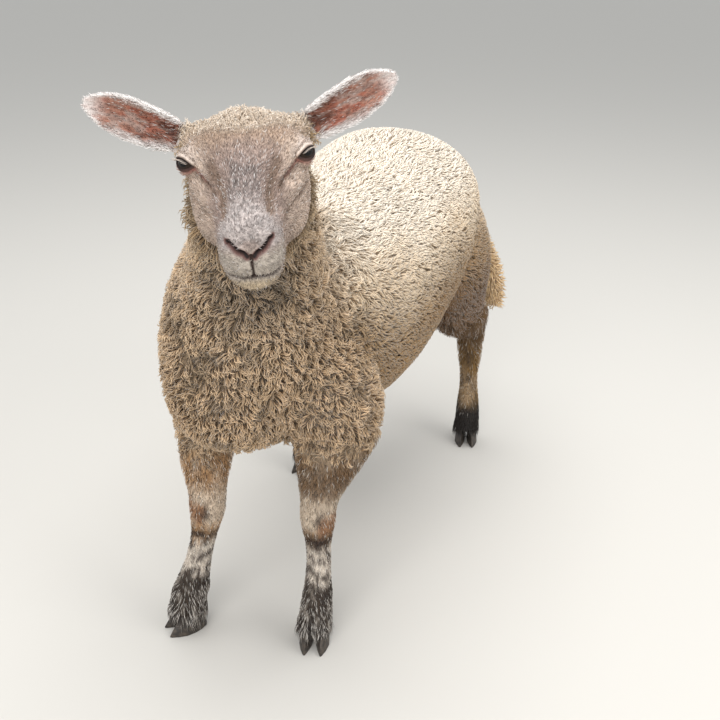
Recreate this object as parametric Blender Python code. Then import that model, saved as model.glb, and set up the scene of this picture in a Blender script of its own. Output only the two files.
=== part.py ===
"""A shorn sheep standing with its head turned to its left, life size, in metres, +Z up.

The sheep faces -Y, so its left side is at +X. The outer surface is that of the coat: the flesh is one
smooth form, parted by thin cuts into named nodes, and the eyes and the eight claws are pieces of their own.
"""

import math

import bmesh
import bpy
from mathutils import Matrix, Vector

GAP = 0.0003  # kept between two pieces that meet
SLIVER = 0.00015  # vertices closer than this become one
VOXEL = 0.0045  # grid on which the overlapping masses are fused
RELAXING = 9  # rounds of smoothing over the fused form
FORM_TRIANGLES = 6150  # faces left on the fused form
HEAD_FREEDOM = 0.99  # how readily the head gives up edges, against 1 for the trunk
EAR_FREEDOM = 0.0  # the same for the ears, which keep every edge, and for the lower legs
LEG_FREEDOM = 0.997
KEEPING = 0.001  # strength of those shares
LEG_TOP = 0.26  # height below which a leg counts as its lower part
STRAIGHT_TOP = 0.30  # height above which a leg's sections stop following the foot's heading

# The trunk, front to back: y, half width, height of the underside, height of the back.
TRUNK = (
    (-0.352, 0.030, 0.400, 0.480),  # point of the breast
    (-0.334, 0.058, 0.355, 0.530),
    (-0.292, 0.084, 0.322, 0.575),  # breast between the shoulders
    (-0.230, 0.108, 0.306, 0.602),
    (-0.160, 0.128, 0.292, 0.611),  # shoulders and withers
    (-0.070, 0.144, 0.270, 0.605),  # girth behind the elbows
    (0.050, 0.154, 0.262, 0.604),  # belly at its widest
    (0.170, 0.152, 0.282, 0.612),  # loin
    (0.270, 0.148, 0.318, 0.617),  # croup
    (0.345, 0.132, 0.370, 0.592),
    (0.392, 0.095, 0.420, 0.545),  # pin bones
    (0.412, 0.045, 0.455, 0.510),
)

# Tubes, top to bottom: x, y, z, half width across, half depth fore and aft.
NECK = (
    (0.012, -0.190, 0.400, 0.050, 0.060),
    (0.020, -0.212, 0.440, 0.094, 0.122),
    (0.030, -0.248, 0.510, 0.090, 0.114),
    (0.044, -0.272, 0.570, 0.080, 0.098),
    (0.060, -0.296, 0.630, 0.069, 0.082),
    (0.068, -0.312, 0.685, 0.058, 0.064),
    (0.072, -0.320, 0.725, 0.044, 0.042),
)
FORE_LEFT = (
    (0.040, -0.185, 0.530, 0.020, 0.040),  # shoulder
    (0.062, -0.196, 0.470, 0.046, 0.074),
    (0.086, -0.196, 0.410, 0.055, 0.082),
    (0.104, -0.184, 0.352, 0.060, 0.083),  # elbow
    (0.101, -0.194, 0.310, 0.050, 0.064),
    (0.096, -0.210, 0.265, 0.033, 0.038),
    (0.092, -0.219, 0.232, 0.0255, 0.0275),
    (0.091, -0.221, 0.206, 0.0250, 0.0260),  # knee
    (0.090, -0.219, 0.168, 0.0185, 0.0200),
    (0.089, -0.218, 0.125, 0.0180, 0.0190),  # cannon
    (0.088, -0.220, 0.085, 0.0210, 0.0235),  # fetlock
    (0.087, -0.226, 0.055, 0.0235, 0.0255),
    (0.0845, -0.226, 0.020, 0.0250, 0.0265),  # coronet
)
FORE_RIGHT = (
    (-0.030, -0.195, 0.530, 0.020, 0.040),
    (-0.046, -0.208, 0.470, 0.040, 0.070),
    (-0.058, -0.218, 0.410, 0.046, 0.076),
    (-0.064, -0.222, 0.352, 0.046, 0.070),
    (-0.062, -0.235, 0.310, 0.038, 0.050),
    (-0.059, -0.247, 0.265, 0.029, 0.033),
    (-0.056, -0.254, 0.232, 0.0255, 0.0275),
    (-0.056, -0.257, 0.206, 0.0250, 0.0260),
    (-0.063, -0.258, 0.168, 0.0185, 0.0200),
    (-0.074, -0.259, 0.125, 0.0180, 0.0190),
    (-0.085, -0.261, 0.085, 0.0215, 0.0235),
    (-0.093, -0.266, 0.055, 0.0245, 0.0270),
    (-0.0950, -0.268, 0.020, 0.0260, 0.0275),
)
HIND_LEFT = (
    (0.060, 0.285, 0.525, 0.020, 0.040),  # haunch
    (0.080, 0.295, 0.480, 0.052, 0.090),
    (0.098, 0.318, 0.395, 0.060, 0.104),
    (0.104, 0.345, 0.325, 0.047, 0.080),  # stifle and breech
    (0.107, 0.384, 0.272, 0.030, 0.050),
    (0.109, 0.408, 0.235, 0.0225, 0.0320),  # hock
    (0.110, 0.411, 0.190, 0.0175, 0.0225),
    (0.112, 0.407, 0.130, 0.0170, 0.0200),
    (0.114, 0.403, 0.085, 0.0210, 0.0240),
    (0.116, 0.397, 0.055, 0.0230, 0.0250),
    (0.1155, 0.396, 0.020, 0.0245, 0.0260),
)
HIND_RIGHT = (
    (-0.060, 0.285, 0.525, 0.020, 0.040),
    (-0.080, 0.288, 0.480, 0.052, 0.090),
    (-0.096, 0.268, 0.395, 0.058, 0.096),
    (-0.104, 0.240, 0.320, 0.045, 0.070),
    (-0.113, 0.234, 0.268, 0.029, 0.046),
    (-0.118, 0.240, 0.230, 0.0225, 0.0320),
    (-0.120, 0.231, 0.185, 0.0175, 0.0225),
    (-0.122, 0.213, 0.130, 0.0170, 0.0200),
    (-0.124, 0.197, 0.085, 0.0210, 0.0240),
    (-0.124, 0.187, 0.055, 0.0230, 0.0250),
    (-0.1240, 0.184, 0.020, 0.0245, 0.0260),
)
TAIL = (
    (0.000, 0.360, 0.525, 0.036, 0.030),
    (0.008, 0.412, 0.500, 0.034, 0.028),
    (0.038, 0.450, 0.448, 0.034, 0.024),
    (0.084, 0.467, 0.382, 0.034, 0.022),
    (0.118, 0.470, 0.318, 0.032, 0.021),
    (0.136, 0.466, 0.272, 0.021, 0.016),
    (0.142, 0.463, 0.250, 0.008, 0.008),
)
# Rotation of each foot about Z: 0 points the toes to -Y, and positive angles point them to +X.
FOOT_HEADING = {"fore_left": 18, "fore_right": -38, "hind_left": 18, "hind_right": -8}
LEGS = {"fore_left": FORE_LEFT, "fore_right": FORE_RIGHT, "hind_left": HIND_LEFT, "hind_right": HIND_RIGHT}

# The head has a frame of its own: origin midway between the eyes, facing -Y, its left at +X.
HEAD_ORIGIN = Vector((0.0955, -0.3705, 0.7200))
HEAD_BACK = 0.07  # what lies ahead of this and above the next counts as the head
HEAD_BELOW = -0.10
HEAD_HEADING = math.radians(28.5)
HEAD_PITCH = math.radians(9)  # nose down
HEAD_ROLL = math.radians(4)  # left eye up
# Front to back in that frame: y, half width, underside, top, how much the upper half narrows.
HEAD = (
    (-0.139, 0.015, -0.042, -0.010, 0.20),  # tip of the nose
    (-0.133, 0.0250, -0.060, 0.000, 0.20),
    (-0.119, 0.0315, -0.079, 0.007, 0.20),  # lips and chin
    (-0.100, 0.0345, -0.084, 0.013, 0.22),
    (-0.080, 0.0380, -0.080, 0.020, 0.25),
    (-0.058, 0.0450, -0.079, 0.026, 0.26),
    (-0.032, 0.0535, -0.085, 0.032, 0.24),  # cheeks
    (-0.005, 0.0590, -0.092, 0.036, 0.16),  # eyes and angle of the jaw
    (0.022, 0.0590, -0.089, 0.0390, 0.12),  # forehead
    (0.045, 0.0550, -0.074, 0.034, 0.15),  # poll
    (0.068, 0.0440, -0.050, 0.018, 0.20),
    (0.084, 0.0220, -0.030, -0.002, 0.20),
)
# Masses over the skull, on both sides: centre x, y, z, then radii.
HEAD_MASSES = (
    (0.0400, 0.002, 0.004, 0.0195, 0.0290, 0.0220),  # rim of the orbit
    (0.0345, -0.016, -0.044, 0.0225, 0.0440, 0.0370),  # cheek
    (0.0150, -0.108, -0.036, 0.0170, 0.0240, 0.0220),  # upper lip
    (0.0125, -0.117, -0.014, 0.0130, 0.0180, 0.0130),  # wing of the nostril
    (0.0070, -0.106, -0.071, 0.0150, 0.0200, 0.0130),  # chin
    (0.0420, 0.039, 0.004, 0.0250, 0.0190, 0.0220),  # root of the ear
)

EYE_RADIUS = 0.0145
EYE_CENTRE = Vector((0.0515, -0.0030, 0.0010))
EAR_ROOT = Vector((0.0560, 0.0420, 0.0030))
EAR_AXIS = Vector((0.895, 0.260, 0.350)).normalized()
EAR_LENGTH = 0.112
EAR_THICKNESS = 0.0045
EAR_CUT = 0.016  # from the root to the cut between head and ear
# Along the ear, from 0 at its root to 1 at its tip: half width, depth of the cup.
EAR = (
    (0.00, 0.0170, 0.0150),
    (0.14, 0.0180, 0.0150),
    (0.35, 0.0215, 0.0130),
    (0.58, 0.0230, 0.0100),
    (0.78, 0.0195, 0.0070),
    (0.92, 0.0120, 0.0040),
    (1.00, 0.0040, 0.0010),
)

CLAW_TOE = 0.036  # how far the toe reaches ahead of the foot's centre, and the heel behind it
CLAW_HEEL = 0.024
CLAW_WIDTH = 0.0250
CLAW_CLEFT = 0.0030  # between the two claws of a foot, at the heel
CLAW_SPLAY = math.radians(5)
CLAW_LEVELS = (0.0, 0.08, 0.50, 1.0)  # shares of the wall's height at which a section stands
CLAW_BEVEL = 0.06  # how much the sole is smaller than the wall above it
CLAW_TAPER = 0.12  # how much the wall narrows up to the coronet
CLAW_POINT = 0.60  # how much the sides close in at the toe
CLAW_FLAT = 0.55  # width of the half towards the cleft, against the outer half
CORONET_HEEL = 0.019  # height of the hoof's upper edge above the heel, and above the toe
CORONET_TOE = 0.034
TOE_SLOPE = 0.50  # how far the front wall leans back for each unit of height
DEWCLAW = Vector((0.0125, 0.0235, 0.072))  # aside of, behind and above the foot's centre
DEWCLAW_RADII = (0.0090, 0.0100, 0.0110)

# Cuts through the flesh: centre, the way the cut faces, radius of the thin disc that makes it.
CUTS = (
    ((0.014, -0.275, 0.540), (0.06, -0.50, 0.86), 0.150),  # neck from trunk
    ((0.020, 0.430, 0.478), (0.30, 0.90, -0.30), 0.056),  # tail from rump
    ((0.102, -0.194, 0.300), (0.30, -0.25, -1.00), 0.094),  # forelegs from trunk
    ((-0.066, -0.235, 0.303), (-0.30, 0.00, -1.00), 0.080),
    ((0.108, 0.348, 0.330), (0.35, 0.25, -0.93), 0.115),  # hind legs from trunk
    ((-0.108, 0.246, 0.300), (-0.45, 0.30, -0.93), 0.100),
    ((0.090, -0.219, 0.172), (0.00, 0.00, 1.00), 0.040),  # below each knee
    ((-0.064, -0.258, 0.172), (-0.20, 0.00, 1.00), 0.040),
    ((0.110, 0.411, 0.195), (0.00, 0.00, 1.00), 0.045),  # below each hock
    ((-0.120, 0.233, 0.190), (0.00, -0.30, 1.00), 0.045),
)
HEAD_CUT = ((0.0, 0.045, -0.062), (0.0, 0.60, -0.80), 0.130)  # the same, in the head's frame

# A point inside each node of flesh, which gives the loose pieces their names.
INSIDE = {
    "trunk": (0.00, 0.05, 0.45),
    "neck": (0.03, -0.30, 0.61),
    "tail": (0.09, 0.44, 0.37),
    "foreleg_left_upper": (0.092, -0.218, 0.25),
    "foreleg_left_lower": (0.089, -0.219, 0.11),
    "foreleg_right_upper": (-0.060, -0.250, 0.25),
    "foreleg_right_lower": (-0.078, -0.260, 0.11),
    "hindleg_left_upper": (0.115, 0.390, 0.27),
    "hindleg_left_lower": (0.118, 0.424, 0.12),
    "hindleg_right_upper": (-0.115, 0.240, 0.27),
    "hindleg_right_lower": (-0.123, 0.212, 0.12),
}

# Colour, roughness and metallic value of each kind of surface.
FINISH = {
    "wool": ((0.62, 0.54, 0.42), 0.95, 0.0),
    "face_hair": ((0.47, 0.40, 0.35), 0.85, 0.0),
    "ear_hair": ((0.60, 0.42, 0.37), 0.80, 0.0),
    "leg_hair": ((0.30, 0.24, 0.19), 0.85, 0.0),
    "hoof_horn": ((0.035, 0.030, 0.028), 0.45, 0.0),
    "eye": ((0.020, 0.014, 0.010), 0.08, 0.0),
}
# The surface of a node, by the first word of its name.
SURFACE = {
    "trunk": "wool",
    "neck": "wool",
    "tail": "wool",
    "head": "face_hair",
    "ear": "ear_hair",
    "foreleg": "leg_hair",
    "hindleg": "leg_hair",
    "hoof": "hoof_horn",
    "eye": "eye",
}
SHARP = math.radians(50)  # an edge with a sharper bend than this stays sharp


def head_frame():
    """The matrix from the head's own frame to the world."""
    turn = Matrix.Rotation(HEAD_HEADING, 4, "Z")
    nod = Matrix.Rotation(HEAD_PITCH, 4, "X")
    lean = Matrix.Rotation(-HEAD_ROLL, 4, "Y")
    return Matrix.Translation(HEAD_ORIGIN) @ turn @ nod @ lean


def smooth_rows(rows, steps):
    """Rows of numbers with steps more of them between each two, on a Catmull-Rom curve through the rows."""
    padded = [rows[0], *rows, rows[-1]]
    result = []
    for before, start, end, after in zip(padded, padded[1:], padded[2:], padded[3:]):
        for step in range(steps):
            t = step / steps
            weights = (
                -0.5 * t + t**2 - 0.5 * t**3,
                1 - 2.5 * t**2 + 1.5 * t**3,
                0.5 * t + 2 * t**2 - 1.5 * t**3,
                -0.5 * t**2 + 0.5 * t**3,
            )
            values = zip(before, start, end, after)
            result.append(tuple(sum(w * v for w, v in zip(weights, column)) for column in values))
    result.append(tuple(rows[-1]))
    return result


def skin_rings(bm, rings):
    """Bridges each ring of vertices to the next and closes both ends."""
    for first, second in zip(rings, rings[1:]):
        edges = [edge for ring in (first, second) for edge in ring_edges(ring)]
        bmesh.ops.bridge_loops(bm, edges=edges)
    for ring in (rings[0], rings[-1]):
        bmesh.ops.contextual_create(bm, geom=ring)


def ring_edges(ring):
    members = set(ring)
    return {edge for vert in ring for edge in vert.link_edges if edge.other_vert(vert) in members}


def round_power(value, power):
    return math.copysign(abs(value) ** (2 / power), value)


def add_barrel(bm, rows, place, sides=32, power=2.3):
    """A closed body whose sections stand across Y. Each row is y, half width, underside, top, narrowing."""
    rings = []
    for y, half_width, low, high, *narrowing in smooth_rows(rows, 4):
        ring = bmesh.ops.create_circle(bm, segments=sides, radius=1)["verts"]
        middle = (low + high) / 2
        for vert in ring:
            share = round_power(vert.co.y, power)
            width = half_width * (1 - sum(narrowing) * max(share, 0))
            vert.co = place @ Vector((round_power(vert.co.x, power) * width, y, middle + share * (high - low) / 2))
        rings.append(ring)
    skin_rings(bm, rings)


def add_tube(bm, rows, heading=0.0, sides=20):
    """A closed limb along a path. Each row is x, y, z, half width, half depth. The heading is that of its foot."""
    rows = smooth_rows(rows, 4)
    rings = []
    for index, (x, y, z, half_width, half_depth) in enumerate(rows):
        ahead = Vector(rows[min(index + 1, len(rows) - 1)][:3])
        behind = Vector(rows[max(index - 1, 0)][:3])
        along = (ahead - behind).normalized()
        turn = heading * min(max((STRAIGHT_TOP - z) / STRAIGHT_TOP, 0), 1)
        across = Matrix.Rotation(turn, 3, "Z") @ Vector((1, 0, 0))
        deep = along.cross(across).normalized()
        across = deep.cross(along)
        ring = bmesh.ops.create_circle(bm, segments=sides, radius=1)["verts"]
        for vert in ring:
            vert.co = Vector((x, y, z)) + across * vert.co.x * half_width + deep * vert.co.y * half_depth
        rings.append(ring)
    skin_rings(bm, rings)


def add_ball(bm, place, centre, radii, subdivisions=2):
    matrix = place @ Matrix.Translation(centre) @ Matrix.Diagonal((*radii, 1))
    bmesh.ops.create_icosphere(bm, subdivisions=subdivisions, radius=1, matrix=matrix)


def new_object(name, bm):
    """The bmesh as an object of the scene, with its faces turned outwards."""
    bmesh.ops.recalc_face_normals(bm, faces=bm.faces)
    mesh = bpy.data.meshes.new(name)
    bm.to_mesh(mesh)
    bm.free()
    obj = bpy.data.objects.new(name, mesh)
    bpy.context.scene.collection.objects.link(obj)
    return obj


def weld(obj):
    """Clears the slivers that a Boolean leaves."""
    bm = bmesh.new()
    bm.from_mesh(obj.data)
    bmesh.ops.remove_doubles(bm, verts=bm.verts, dist=SLIVER)
    bmesh.ops.dissolve_degenerate(bm, edges=bm.edges, dist=SLIVER)
    bmesh.ops.triangulate(bm, faces=bm.faces)
    bm.to_mesh(obj.data)
    bm.free()


def apply_modifiers(obj):
    graph = bpy.context.evaluated_depsgraph_get()
    mesh = bpy.data.meshes.new_from_object(obj.evaluated_get(graph), depsgraph=graph)
    obj.modifiers.clear()
    obj.data = mesh


def add_boolean(obj, operation, tool):
    """Works the tool into the object at once, and takes the tool out of the scene."""
    modifier = obj.modifiers.new(operation.lower(), "BOOLEAN")
    modifier.operation = operation
    modifier.object = tool
    modifier.solver = "MANIFOLD"
    apply_modifiers(obj)
    bpy.data.objects.remove(tool)


def fused_form():
    """Trunk, neck, head without ears, tail and legs as one smooth closed mesh."""
    head = head_frame()
    bm = bmesh.new()
    add_barrel(bm, TRUNK, Matrix())
    add_barrel(bm, HEAD, head, power=2.5)
    add_tube(bm, NECK, sides=28)
    add_tube(bm, TAIL)
    for name, rows in LEGS.items():
        heading = math.radians(FOOT_HEADING[name])
        add_tube(bm, rows, heading)
        for side in (-1, 1):
            place = Matrix.Translation((*rows[-1][:2], 0)) @ Matrix.Rotation(heading, 4, "Z")
            add_ball(bm, place, (side * DEWCLAW.x, DEWCLAW.y, DEWCLAW.z), DEWCLAW_RADII)
    for x, y, z, *radii in HEAD_MASSES:
        for side in (-1, 1):
            add_ball(bm, head, (side * x, y, z), radii)
    form = new_object("form", bm)
    remesh = form.modifiers.new("fuse", "REMESH")
    remesh.mode = "VOXEL"
    remesh.voxel_size = VOXEL
    relax = form.modifiers.new("relax", "SMOOTH")
    relax.factor = 0.5
    relax.iterations = RELAXING
    apply_modifiers(form)
    for side in (-1, 1):
        add_boolean(form, "UNION", ear(side))
    thin_out(form, head)
    return form


def thin_out(form, head):
    """Lowers the number of faces, and keeps more of them on the head and the lower legs."""
    free = form.vertex_groups.new(name="free")
    to_head = head.inverted()
    for vert in form.data.vertices:
        place = to_head @ vert.co
        freedom = LEG_FREEDOM if vert.co.z < LEG_TOP else 1.0
        if place.y < HEAD_BACK and place.z > HEAD_BELOW:
            freedom = EAR_FREEDOM if abs(place.x) > EAR_ROOT.x + EAR_CUT else HEAD_FREEDOM
        free.add([vert.index], freedom, "REPLACE")
    decimate = form.modifiers.new("thin", "DECIMATE")
    decimate.vertex_group = "free"
    decimate.vertex_group_factor = KEEPING
    decimate.ratio = FORM_TRIANGLES / (2 * len(form.data.polygons))
    apply_modifiers(form)


def ear(side):
    """A thin cupped leaf that opens forwards, from inside the head to its tip."""
    head = head_frame()
    root, along = ear_line(side)
    across = along.cross(Vector((0, -1, 0))).normalized()
    facing = across.cross(along).normalized()
    facing *= -math.copysign(1, facing.y)
    steps = 2 * (len(EAR) - 1)
    rows = smooth_rows(EAR, 2)
    bm = bmesh.new()
    bmesh.ops.create_grid(bm, x_segments=6, y_segments=steps, size=1)
    for vert in bm.verts:
        share, half_width, cup = rows[round((vert.co.y + 1) / 2 * steps)]
        t = vert.co.x
        depth = -cup * (1 - t * t)
        vert.co = head @ (root + along * EAR_LENGTH * share + across * half_width * t + facing * depth)
    leaf = new_object("ear_tool", bm)
    wall = leaf.modifiers.new("wall", "SOLIDIFY")
    wall.thickness = EAR_THICKNESS
    wall.offset = 0
    apply_modifiers(leaf)
    return leaf


def ear_line(side):
    """The ear's root and its direction, in the head's frame."""
    root = Vector((side * EAR_ROOT.x, EAR_ROOT.y, EAR_ROOT.z))
    return root, Vector((side * EAR_AXIS.x, EAR_AXIS.y, EAR_AXIS.z))


def disc(bm, centre, facing, radius, thickness):
    """A flat round plate in the bmesh, for a cutter."""
    turn = Vector((0, 0, 1)).rotation_difference(Vector(facing).normalized()).to_matrix().to_4x4()
    matrix = Matrix.Translation(centre) @ turn
    bmesh.ops.create_cone(
        bm, cap_ends=True, segments=24, radius1=radius, radius2=radius, depth=thickness, matrix=matrix
    )


def foot_frame(name):
    """The matrix of a foot: its origin is on the floor under the coronet, and its toes point to -Y."""
    x, y = LEGS[name][-1][:2]
    return Matrix.Translation((x, y, 0)) @ Matrix.Rotation(math.radians(FOOT_HEADING[name]), 4, "Z")


def coronet_height(y):
    """Height of the hoof's slanting upper edge at a distance y behind the foot's centre."""
    share = (CLAW_HEEL - y) / (CLAW_HEEL + CLAW_TOE)
    return CORONET_HEEL + (CORONET_TOE - CORONET_HEEL) * share


def trim_feet(form):
    """Takes the flesh away below the slanting plane where the hooves begin."""
    slope = math.atan2(CORONET_TOE - CORONET_HEEL, CLAW_HEEL + CLAW_TOE)
    thickness = 0.09
    bm = bmesh.new()
    for name in LEGS:
        below = Matrix.Translation((0, 0, coronet_height(0) + GAP / 2)) @ Matrix.Rotation(-slope, 4, "X")
        below = below @ Matrix.Translation((0, 0, -thickness / 2))
        matrix = foot_frame(name) @ below @ Matrix.Diagonal((0.1, 0.1, thickness, 1))
        bmesh.ops.create_cube(bm, size=1, matrix=matrix)
    add_boolean(form, "DIFFERENCE", new_object("below_feet", bm))


def claw(name, side):
    """One horny claw: a pointed wedge, nearly straight towards the cleft and bulged outwards, flat below."""
    splay = Matrix.Rotation(side * CLAW_SPLAY, 3, "Z")
    aside = side * (CLAW_CLEFT + CLAW_WIDTH * CLAW_FLAT) / 2
    middle = (CLAW_HEEL - CLAW_TOE) / 2
    half_length = (CLAW_HEEL + CLAW_TOE) / 2
    bm = bmesh.new()
    rings = []
    for level in CLAW_LEVELS:
        ring = bmesh.ops.create_circle(bm, segments=14, radius=1)["verts"]
        size = (1 - CLAW_BEVEL * (level == 0)) * (1 - CLAW_TAPER * level)
        for vert in ring:
            forward = -vert.co.y
            half_width = CLAW_WIDTH / 2 * (1 - CLAW_POINT * max(forward, 0) ** 2)
            if side * vert.co.x < 0:
                half_width *= CLAW_FLAT
            lean = TOE_SLOPE * CORONET_TOE * level * (forward + 1) / 2
            point = splay @ Vector((vert.co.x * half_width * size, middle - forward * half_length * size + lean, 0))
            vert.co = (aside + point.x, point.y, (coronet_height(point.y) - GAP / 2) * level)
        rings.append(ring)
    skin_rings(bm, rings)
    bmesh.ops.transform(bm, matrix=foot_frame(name), verts=bm.verts)
    bmesh.ops.triangulate(bm, faces=bm.faces)
    return new_object(f"hoof_{name}_{'outer' if is_outer(name, side) else 'inner'}", bm)


def is_outer(name, side):
    return (side > 0) == name.endswith("left")


def eye(side, radius):
    head = head_frame()
    bm = bmesh.new()
    centre = (side * EYE_CENTRE.x, EYE_CENTRE.y, EYE_CENTRE.z)
    add_ball(bm, head, centre, (radius, radius, radius))
    return new_object("eye_left" if side > 0 else "eye_right", bm)


def part_flesh(form):
    """Cuts the form with thin discs into loose pieces, each with its own name."""
    head = head_frame()
    bm = bmesh.new()
    for centre, facing, radius in CUTS:
        disc(bm, centre, facing, radius, GAP)
    centre, facing, radius = HEAD_CUT
    disc(bm, head @ Vector(centre), head.to_3x3() @ Vector(facing), radius, GAP)
    for side in (-1, 1):
        root, along = ear_line(side)
        disc(bm, head @ (root + along * EAR_CUT), head.to_3x3() @ along, 0.034, GAP)
    add_boolean(form, "DIFFERENCE", new_object("cuts", bm))
    inside = dict(INSIDE)
    inside["head"] = head @ Vector((0, -0.03, -0.02))
    for side, name in ((1, "ear_left"), (-1, "ear_right")):
        root, along = ear_line(side)
        inside[name] = head @ (root + along * EAR_LENGTH * 0.6)
    return separate(form, inside)


def separate(form, inside):
    """One object for each loose piece, named after the point of inside that lies nearest to its middle."""
    pieces = []
    for members in loose_parts(form.data):
        bm = bmesh.new()
        bm.from_mesh(form.data)
        strangers = [vert for vert in bm.verts if vert.index not in members]
        bmesh.ops.delete(bm, geom=strangers, context="VERTS")
        middle = box_middle([vert.co for vert in bm.verts])
        name = min(inside, key=lambda key: (Vector(inside[key]) - middle).length)
        pieces.append(new_object(name, bm))
    bpy.data.objects.remove(form)
    return pieces


def loose_parts(mesh):
    """Sets of vertex indices, one for each part that no edge joins to the others."""
    bm = bmesh.new()
    bm.from_mesh(mesh)
    unseen = set(bm.verts)
    parts = []
    while unseen:
        waiting = [unseen.pop()]
        members = set()
        while waiting:
            vert = waiting.pop()
            members.add(vert.index)
            reached = {edge.other_vert(vert) for edge in vert.link_edges} & unseen
            unseen -= reached
            waiting.extend(reached)
        parts.append(members)
    bm.free()
    return parts


def box_middle(points):
    """Middle of the box around the points."""
    return Vector([(min(values) + max(values)) / 2 for values in zip(*points)])


def finish(obj):
    """Gives a node its material and its smooth shading."""
    kind = SURFACE[obj.name.split("_")[0]]
    colour, roughness, metallic = FINISH[kind]
    material = bpy.data.materials.new(f"{obj.name}_{kind}")
    material.use_nodes = True
    shader = material.node_tree.nodes["Principled BSDF"]
    shader.inputs["Base Color"].default_value = (*colour, 1)
    shader.inputs["Roughness"].default_value = roughness
    shader.inputs["Metallic"].default_value = metallic
    obj.data.materials.append(material)
    obj.data.shade_smooth()
    obj.data.set_sharp_from_angle(angle=SHARP)


def main():
    for obj in list(bpy.data.objects):
        bpy.data.objects.remove(obj)
    form = fused_form()
    for side in (-1, 1):
        add_boolean(form, "DIFFERENCE", eye(side, EYE_RADIUS + GAP))
    weld(form)
    trim_feet(form)
    pieces = part_flesh(form)
    pieces += [eye(side, EYE_RADIUS) for side in (-1, 1)]
    pieces += [claw(name, side) for name in LEGS for side in (-1, 1)]
    middle = box_middle([vert.co for obj in pieces for vert in obj.data.vertices])
    for obj in pieces:
        obj.data.transform(Matrix.Translation((-middle.x, -middle.y, 0)))
        finish(obj)


main()
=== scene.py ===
"""A shorn sheep with its head turned, standing on a plain pale floor.

One skin covers the whole animal. It is fused from the solids of the frame, drawn in by the depth of the
coat and then worked: lids, nostrils, lips and cheeks. Locks of wool and tufts of hair grow from it as
solid strands, and eyes and claws are pieces of their own. Everything is in metres, +Z up.
"""

from functools import cache
from math import cos, pi, radians, sin

import bmesh
import bpy
import numpy as np
from mathutils import Matrix, Vector, kdtree


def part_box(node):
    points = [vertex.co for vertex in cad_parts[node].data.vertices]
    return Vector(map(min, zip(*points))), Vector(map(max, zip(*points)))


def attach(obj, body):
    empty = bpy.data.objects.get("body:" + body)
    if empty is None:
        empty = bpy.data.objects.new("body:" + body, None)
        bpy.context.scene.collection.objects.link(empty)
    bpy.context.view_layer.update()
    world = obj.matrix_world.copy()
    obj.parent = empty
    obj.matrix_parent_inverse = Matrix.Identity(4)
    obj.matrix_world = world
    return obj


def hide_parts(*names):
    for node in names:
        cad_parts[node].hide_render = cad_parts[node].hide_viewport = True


SEED = 11
LEGS = ("fore_left", "fore_right", "hind_left", "hind_right")
SIDES = {-1: "right", 1: "left"}  # the sheep's own right is at -X
MERGE = 1e-5  # points closer than this are one

# The head has a frame of its own: origin midway between the eyes, facing -Y, its left at +X.
HEAD_HEADING, HEAD_PITCH, HEAD_ROLL = radians(28.5), radians(9), radians(-4)
EYE_CENTRE = np.array((0.0500, -0.0030, 0.0010))
EYE_RADIUS = 0.0143
CORNEA_SHARE, CORNEA_RISE = 0.62, 0.0011  # of the ball's radius, and its bulge
EYE_LOOK = (0.71, -0.68, 0.18)  # out along the eye's own axis
EYE_SLIT = (0.69, 0.71, 0.01)  # from the inner corner of the lids to the outer one
EYE_REACH = 0.030  # from the eye's middle, how far its lids are painted
SLIT_HALF = 0.0092
LID_ABOVE, LID_BELOW = 0.0036, 0.0036  # how far the lids part
LID_CREASE = 0.0056  # from the edge of the upper lid to its crease
CLAW_WEAR = 0.0012  # how far the edges of the claws are worn back
EAR_ROOT = np.array((0.0560, 0.0420, 0.0030))
EAR_AXIS = np.array((0.895, 0.260, 0.350))
EAR_LENGTH, EAR_REACH = 0.112, 0.036  # reach is the most that an ear extends from its axis

# Along the ear, from 0 at its root to 1 at its tip, and half its width there
EAR_STATIONS = (0.0, 0.14, 0.35, 0.58, 0.78, 0.92, 1.0)
EAR_HALVES = (0.0170, 0.0180, 0.0215, 0.0230, 0.0195, 0.0120, 0.0040)

# The skin
NET = 0.0020  # the grid that the solids are fused on
OVERLAP = 0.00025  # closes the gap between two solids
SMOOTHING, EAR_SMOOTHING = 22, 5
SKIN_SHARE = 0.10  # of its faces left once the fleeced part and the legs are thinned
LEG_FREEDOM = 0.97  # how readily the legs give up faces, against 1 for the fleeced part

# The coat, from the skin to its outline
FLEECE_DEPTH = 0.0145  # in front
FELT_DEPTH = 0.0100  # on the shorn body
FLEECE_THIN = 0.0075  # on poll, tail and the tops of the legs
HAIR_DEPTH, EAR_DEPTH = 0.0020, 0.0008
WOOL_SPACING = 0.0037
RIDGE_SIZE = 0.0078  # clumps of the felted wool
CURL_SIZE, KNOT_SIZE = 0.0086, 0.017  # small and large clumps in front
# Tufts in a square metre
FACE_DENSITY, FUZZ_DENSITY, EAR_DENSITY, LEG_DENSITY = 260000, 210000, 380000, 160000
UNDER_FELT, UNDER_CURLS = 1.14, 0.50  # the skin's lightness between locks, as a share of the wool's: painted light on the felt, which lightens the gaps that the locks shade, and painted shade under the curls
WOOL_STREAK, HAIR_STREAK = 0.0012, 0.0010  # fibres drawn on a lock, coarser than real ones so that they show
WOOL_STAIN = np.array((1.0, 0.81, 0.58))  # yolk and dust browning the wool near its roots
PATCH = 0.003  # side of one strand's place on the map that colours are baked on

# The camera, in metres, degrees below the level and from +Y, and millimetres
CAMERA_SPOT = (0.5220, -1.1619, 0.9357)
CAMERA_DOWN, CAMERA_HEADING = 25.5, 22.7356
LENS = 47.5


def linear(colour):
    """An sRGB hex colour as linear values."""
    parts = (int(colour[i : i + 2], 16) / 255 for i in (1, 3, 5))
    return np.array([p / 12.92 if p <= 0.04045 else ((p + 0.055) / 1.055) ** 2.4 for p in parts])


def ramp(value, low, high):
    """0 below low, 1 above high and an even curve between."""
    share = np.clip((value - low) / (high - low), 0, 1)
    return share * share * (3 - 2 * share)


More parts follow.
